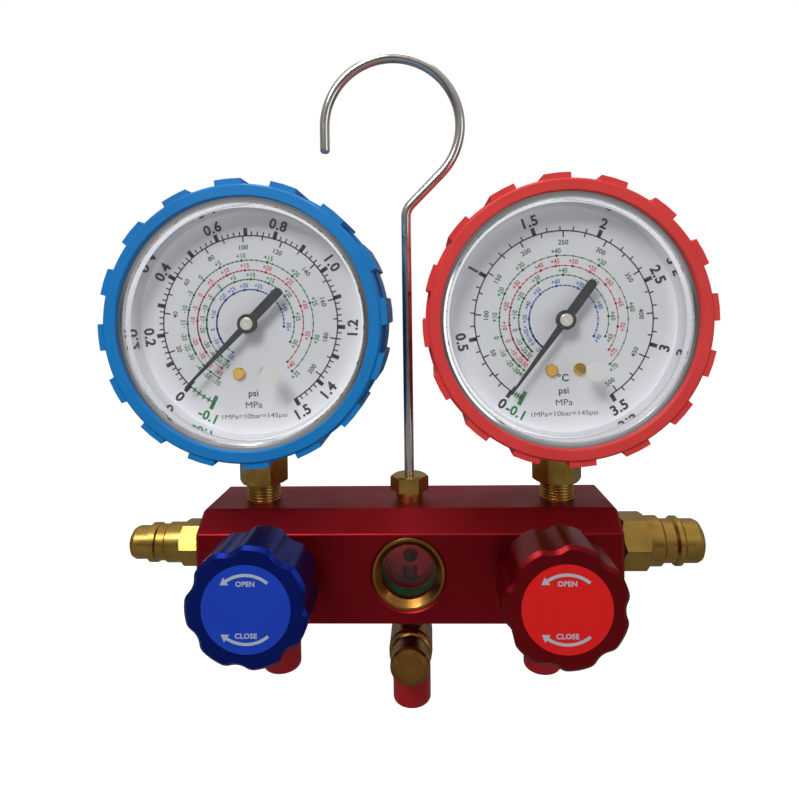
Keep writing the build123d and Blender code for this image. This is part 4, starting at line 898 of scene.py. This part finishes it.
# %% The thread tree
thread_tree, thread_in, thread_out = new_tree("thread_ridge", {
    "Radius": (FLOAT, 0.005), "Length": (FLOAT, 0.006), "Pitch": (FLOAT, 0.001),
    "Ridge": (FLOAT, 0.0004), "Finish": ("NodeSocketMaterial", None)})
spiral = thread_tree.nodes.new("GeometryNodeCurveSpiral")
spiral.inputs["Resolution"].default_value = 40
thread_tree.links.new(math_node(thread_tree, "DIVIDE", thread_in.outputs["Length"],
                                thread_in.outputs["Pitch"]), spiral.inputs["Rotations"])
for socket in ("Start Radius", "End Radius"):
    thread_tree.links.new(thread_in.outputs["Radius"], spiral.inputs[socket])
thread_tree.links.new(thread_in.outputs["Length"], spiral.inputs["Height"])
profile = thread_tree.nodes.new("GeometryNodeCurvePrimitiveCircle")
profile.inputs["Resolution"].default_value = 4
thread_tree.links.new(thread_in.outputs["Ridge"], profile.inputs["Radius"])
upright = thread_tree.nodes.new("GeometryNodeSetCurveNormal")
upright.mode = "Z_UP"
thread_tree.links.new(spiral.outputs["Curve"], upright.inputs["Curve"])
ridge = thread_tree.nodes.new("GeometryNodeCurveToMesh")
ridge.inputs["Fill Caps"].default_value = True
thread_tree.links.new(upright.outputs["Curve"], ridge.inputs["Curve"])
thread_tree.links.new(profile.outputs["Curve"], ridge.inputs["Profile Curve"])
finish_tree(thread_tree, ridge.outputs["Mesh"], thread_in, thread_out)
print("thread tree nodes:", len(thread_tree.nodes))

# %% [markdown]
# ## Two threads a side
# The gauges screw into the bar with a fine pipe thread, and a few turns stay in sight under the
# hexagon. The hose ports carry a coarser flare thread between their hexagon and the cap. Typed
# heights would go stale, so the bar's faces and the tops of the caps are read off the solids.

# %% Cut the threads
PIPE_PITCH, FLARE_PITCH = 0.94 * MM, 1.27 * MM
PIPE_RADIUS, FLARE_RADIUS = 5.15 * MM, 5.50 * MM    # a hair inside the shafts, so no gap shows
PIPE_OPEN = 6.0 * MM                # from the bar up to the socket's hexagon
FLARE_HEX = 5.0 * MM                # height of the port's hexagon under the bar
PORTS_Y = -14.0 * MM
RIDGE_SHARE = 0.42                  # ridge size over pitch


def add_thread(name, node, low_z, high_z, radius, pitch):
    """A thread ridge on the upright shaft of a node, between two heights."""
    low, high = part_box(node)
    x = (low.x + high.x) / 2
    ridge_size = pitch * RIDGE_SHARE
    mesh = grow(thread_tree, name, {"Radius": radius, "Length": high_z - low_z - 2 * ridge_size,
                                    "Pitch": pitch, "Ridge": ridge_size, "Finish": brass_z})
    mesh.transform(Matrix.Translation((x, PORTS_Y, low_z + ridge_size)))
    shaped = bmesh.new()
    shaped.from_mesh(mesh)
    bmesh.ops.recalc_face_normals(shaped, faces=shaped.faces)
    shaped.to_mesh(mesh)
    shaped.free()
    add_piece(name, mesh, brass_z, "manifold")
    print(name, "turns", round((high_z - low_z) / pitch, 1), "faces", len(mesh.polygons))


bar_low, bar_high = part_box("manifold_block")
for side in SIDES:
    cap_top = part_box(f"{side}_port_cap")[1].z
    add_thread(f"{side}_pipe_thread", f"{side}_gauge_socket", bar_high.z, bar_high.z + PIPE_OPEN,
               PIPE_RADIUS, PIPE_PITCH)
    add_thread(f"{side}_flare_thread", f"{side}_hose_port", cap_top, bar_low.z - FLARE_HEX,
               FLARE_RADIUS, FLARE_PITCH)

# %% [markdown]
# ## Floor
# The floor is pale and plain, and white to the camera and through the panes. Stronger lamps would
# whiten it too, but would bleach the object. So it glows only for rays that see it directly, and
# still takes the shadow. The set hangs by its hook, so the floor lies a little lower: the caps come
# off downwards.

# %% Floor
FLOOR_REACH, CAP_ROOM = 3.0, 22 * MM
FLOOR_GREY, FLOOR_GLOW = (0.3, 0.3, 0.3), 0.95


def seen_directly(tree, path):
    """1 for rays from the camera, also through a pane; else 0."""
    return math_node(tree, "MAXIMUM", path.outputs["Is Camera Ray"],
                     path.outputs["Is Transmission Ray"])


floor_pale = new_finish("floor_pale", FLOOR_GREY, roughness=0.8)
floor_tree = floor_pale.node_tree
floor_path = floor_tree.nodes.new("ShaderNodeLightPath")
floor_seen = seen_directly(floor_tree, floor_path)
floor_tree.links.new(math_node(floor_tree, "MULTIPLY", floor_seen, FLOOR_GLOW),
                     shader_of(floor_pale).inputs["Emission Strength"])
shader_of(floor_pale).inputs["Emission Color"].default_value = (1, 1, 1, 1)

floor_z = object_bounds()[0].z - CAP_ROOM
floor_mesh = bpy.data.meshes.new("floor")
floor_mesh.from_pydata([(x * FLOOR_REACH, y * FLOOR_REACH, floor_z)
                        for x, y in ((-1, -1), (1, -1), (1, 1), (-1, 1))], [], [(0, 1, 2, 3)])
floor_mesh.materials.append(floor_pale)
floor = bpy.data.objects.new("floor", floor_mesh)
bpy.context.scene.collection.objects.link(floor)
print("floor at", round(floor_z / MM, 1), "mm")

# %% [markdown]
# ## The room
# The world plays three parts, told apart by the kind of ray. The camera sees white, surfaces get
# an even light, and bright metal mirrors a room that is dark in front and lighter above and
# behind. An all-white room would leave chrome and brass without contrast.

# %% The room's light
ROOM_LIGHT = 0.20                   # what falls on the object
MIRROR_BEHIND = 0.30                # what metal mirrors: behind the set,
MIRROR_LOW, MIRROR_HIGH = 0.03, 0.55    # and from below to overhead
world = bpy.data.worlds.new("room")
world.use_nodes = True
bpy.context.scene.world = world
room = world.node_tree
background = room.nodes["Background"]
direction = room.nodes.new("ShaderNodeTexCoord")
split = room.nodes.new("ShaderNodeSeparateXYZ")
room.links.new(direction.outputs["Generated"], split.inputs["Vector"])
behind = math_node(room, "MULTIPLY",
                   math_node(room, "GREATER_THAN", split.outputs["Y"], 0.15), MIRROR_BEHIND)
above = room.nodes.new("ShaderNodeMapRange")
above.inputs["From Min"].default_value = -0.2
above.inputs["From Max"].default_value = 0.9
above.inputs["To Min"].default_value = MIRROR_LOW
above.inputs["To Max"].default_value = MIRROR_HIGH
room.links.new(split.outputs["Z"], above.inputs["Value"])
mirrored = math_node(room, "MAXIMUM", behind, above.outputs["Result"])
ray = room.nodes.new("ShaderNodeLightPath")
lit = math_node(room, "MULTIPLY", ray.outputs["Is Diffuse Ray"], ROOM_LIGHT)
glossy = math_node(room, "MULTIPLY", ray.outputs["Is Glossy Ray"], mirrored)
room.links.new(math_node(room, "MAXIMUM", seen_directly(room, ray),
                         math_node(room, "MAXIMUM", lit, glossy)),
               background.inputs["Strength"])
background.inputs["Color"].default_value = (1, 1, 1, 1)
print("room light", ROOM_LIGHT)

# %% [markdown]
# ## Lamps
# Three soft rectangles: a key from the upper left, a weak fill from the right, and one above and
# behind that draws the bar's edges. Point lamps would give hard shadows and pinprick highlights.

# %% Lamps
def add_lamp(name, place, target, width, height, watts):
    lamp_data = bpy.data.lights.new(name, "AREA")
    lamp_data.shape = "RECTANGLE"
    lamp_data.size, lamp_data.size_y = width, height
    lamp_data.energy = watts
    lamp = bpy.data.objects.new(name, lamp_data)
    lamp.location = place
    lamp.rotation_euler = (Vector(target) - Vector(place)).to_track_quat("-Z", "Y").to_euler()
    bpy.context.scene.collection.objects.link(lamp)
    print("lamp", name, watts, "W")


MIDDLE = (0, -0.02, 0.05)
add_lamp("key", (-0.25, -0.55, 0.62), MIDDLE, 0.30, 0.30, 3.6)
add_lamp("fill", (0.55, -0.45, 0.15), MIDDLE, 0.35, 0.5, 0.7)
add_lamp("top", (0.0, 0.10, 0.75), MIDDLE, 0.5, 0.25, 1.2)

# %% [markdown]
# ## Colour out
# The view transform is Standard, so that a colour comes out as it was written.

# %% Finish
bpy.context.scene.view_settings.view_transform = "Standard"
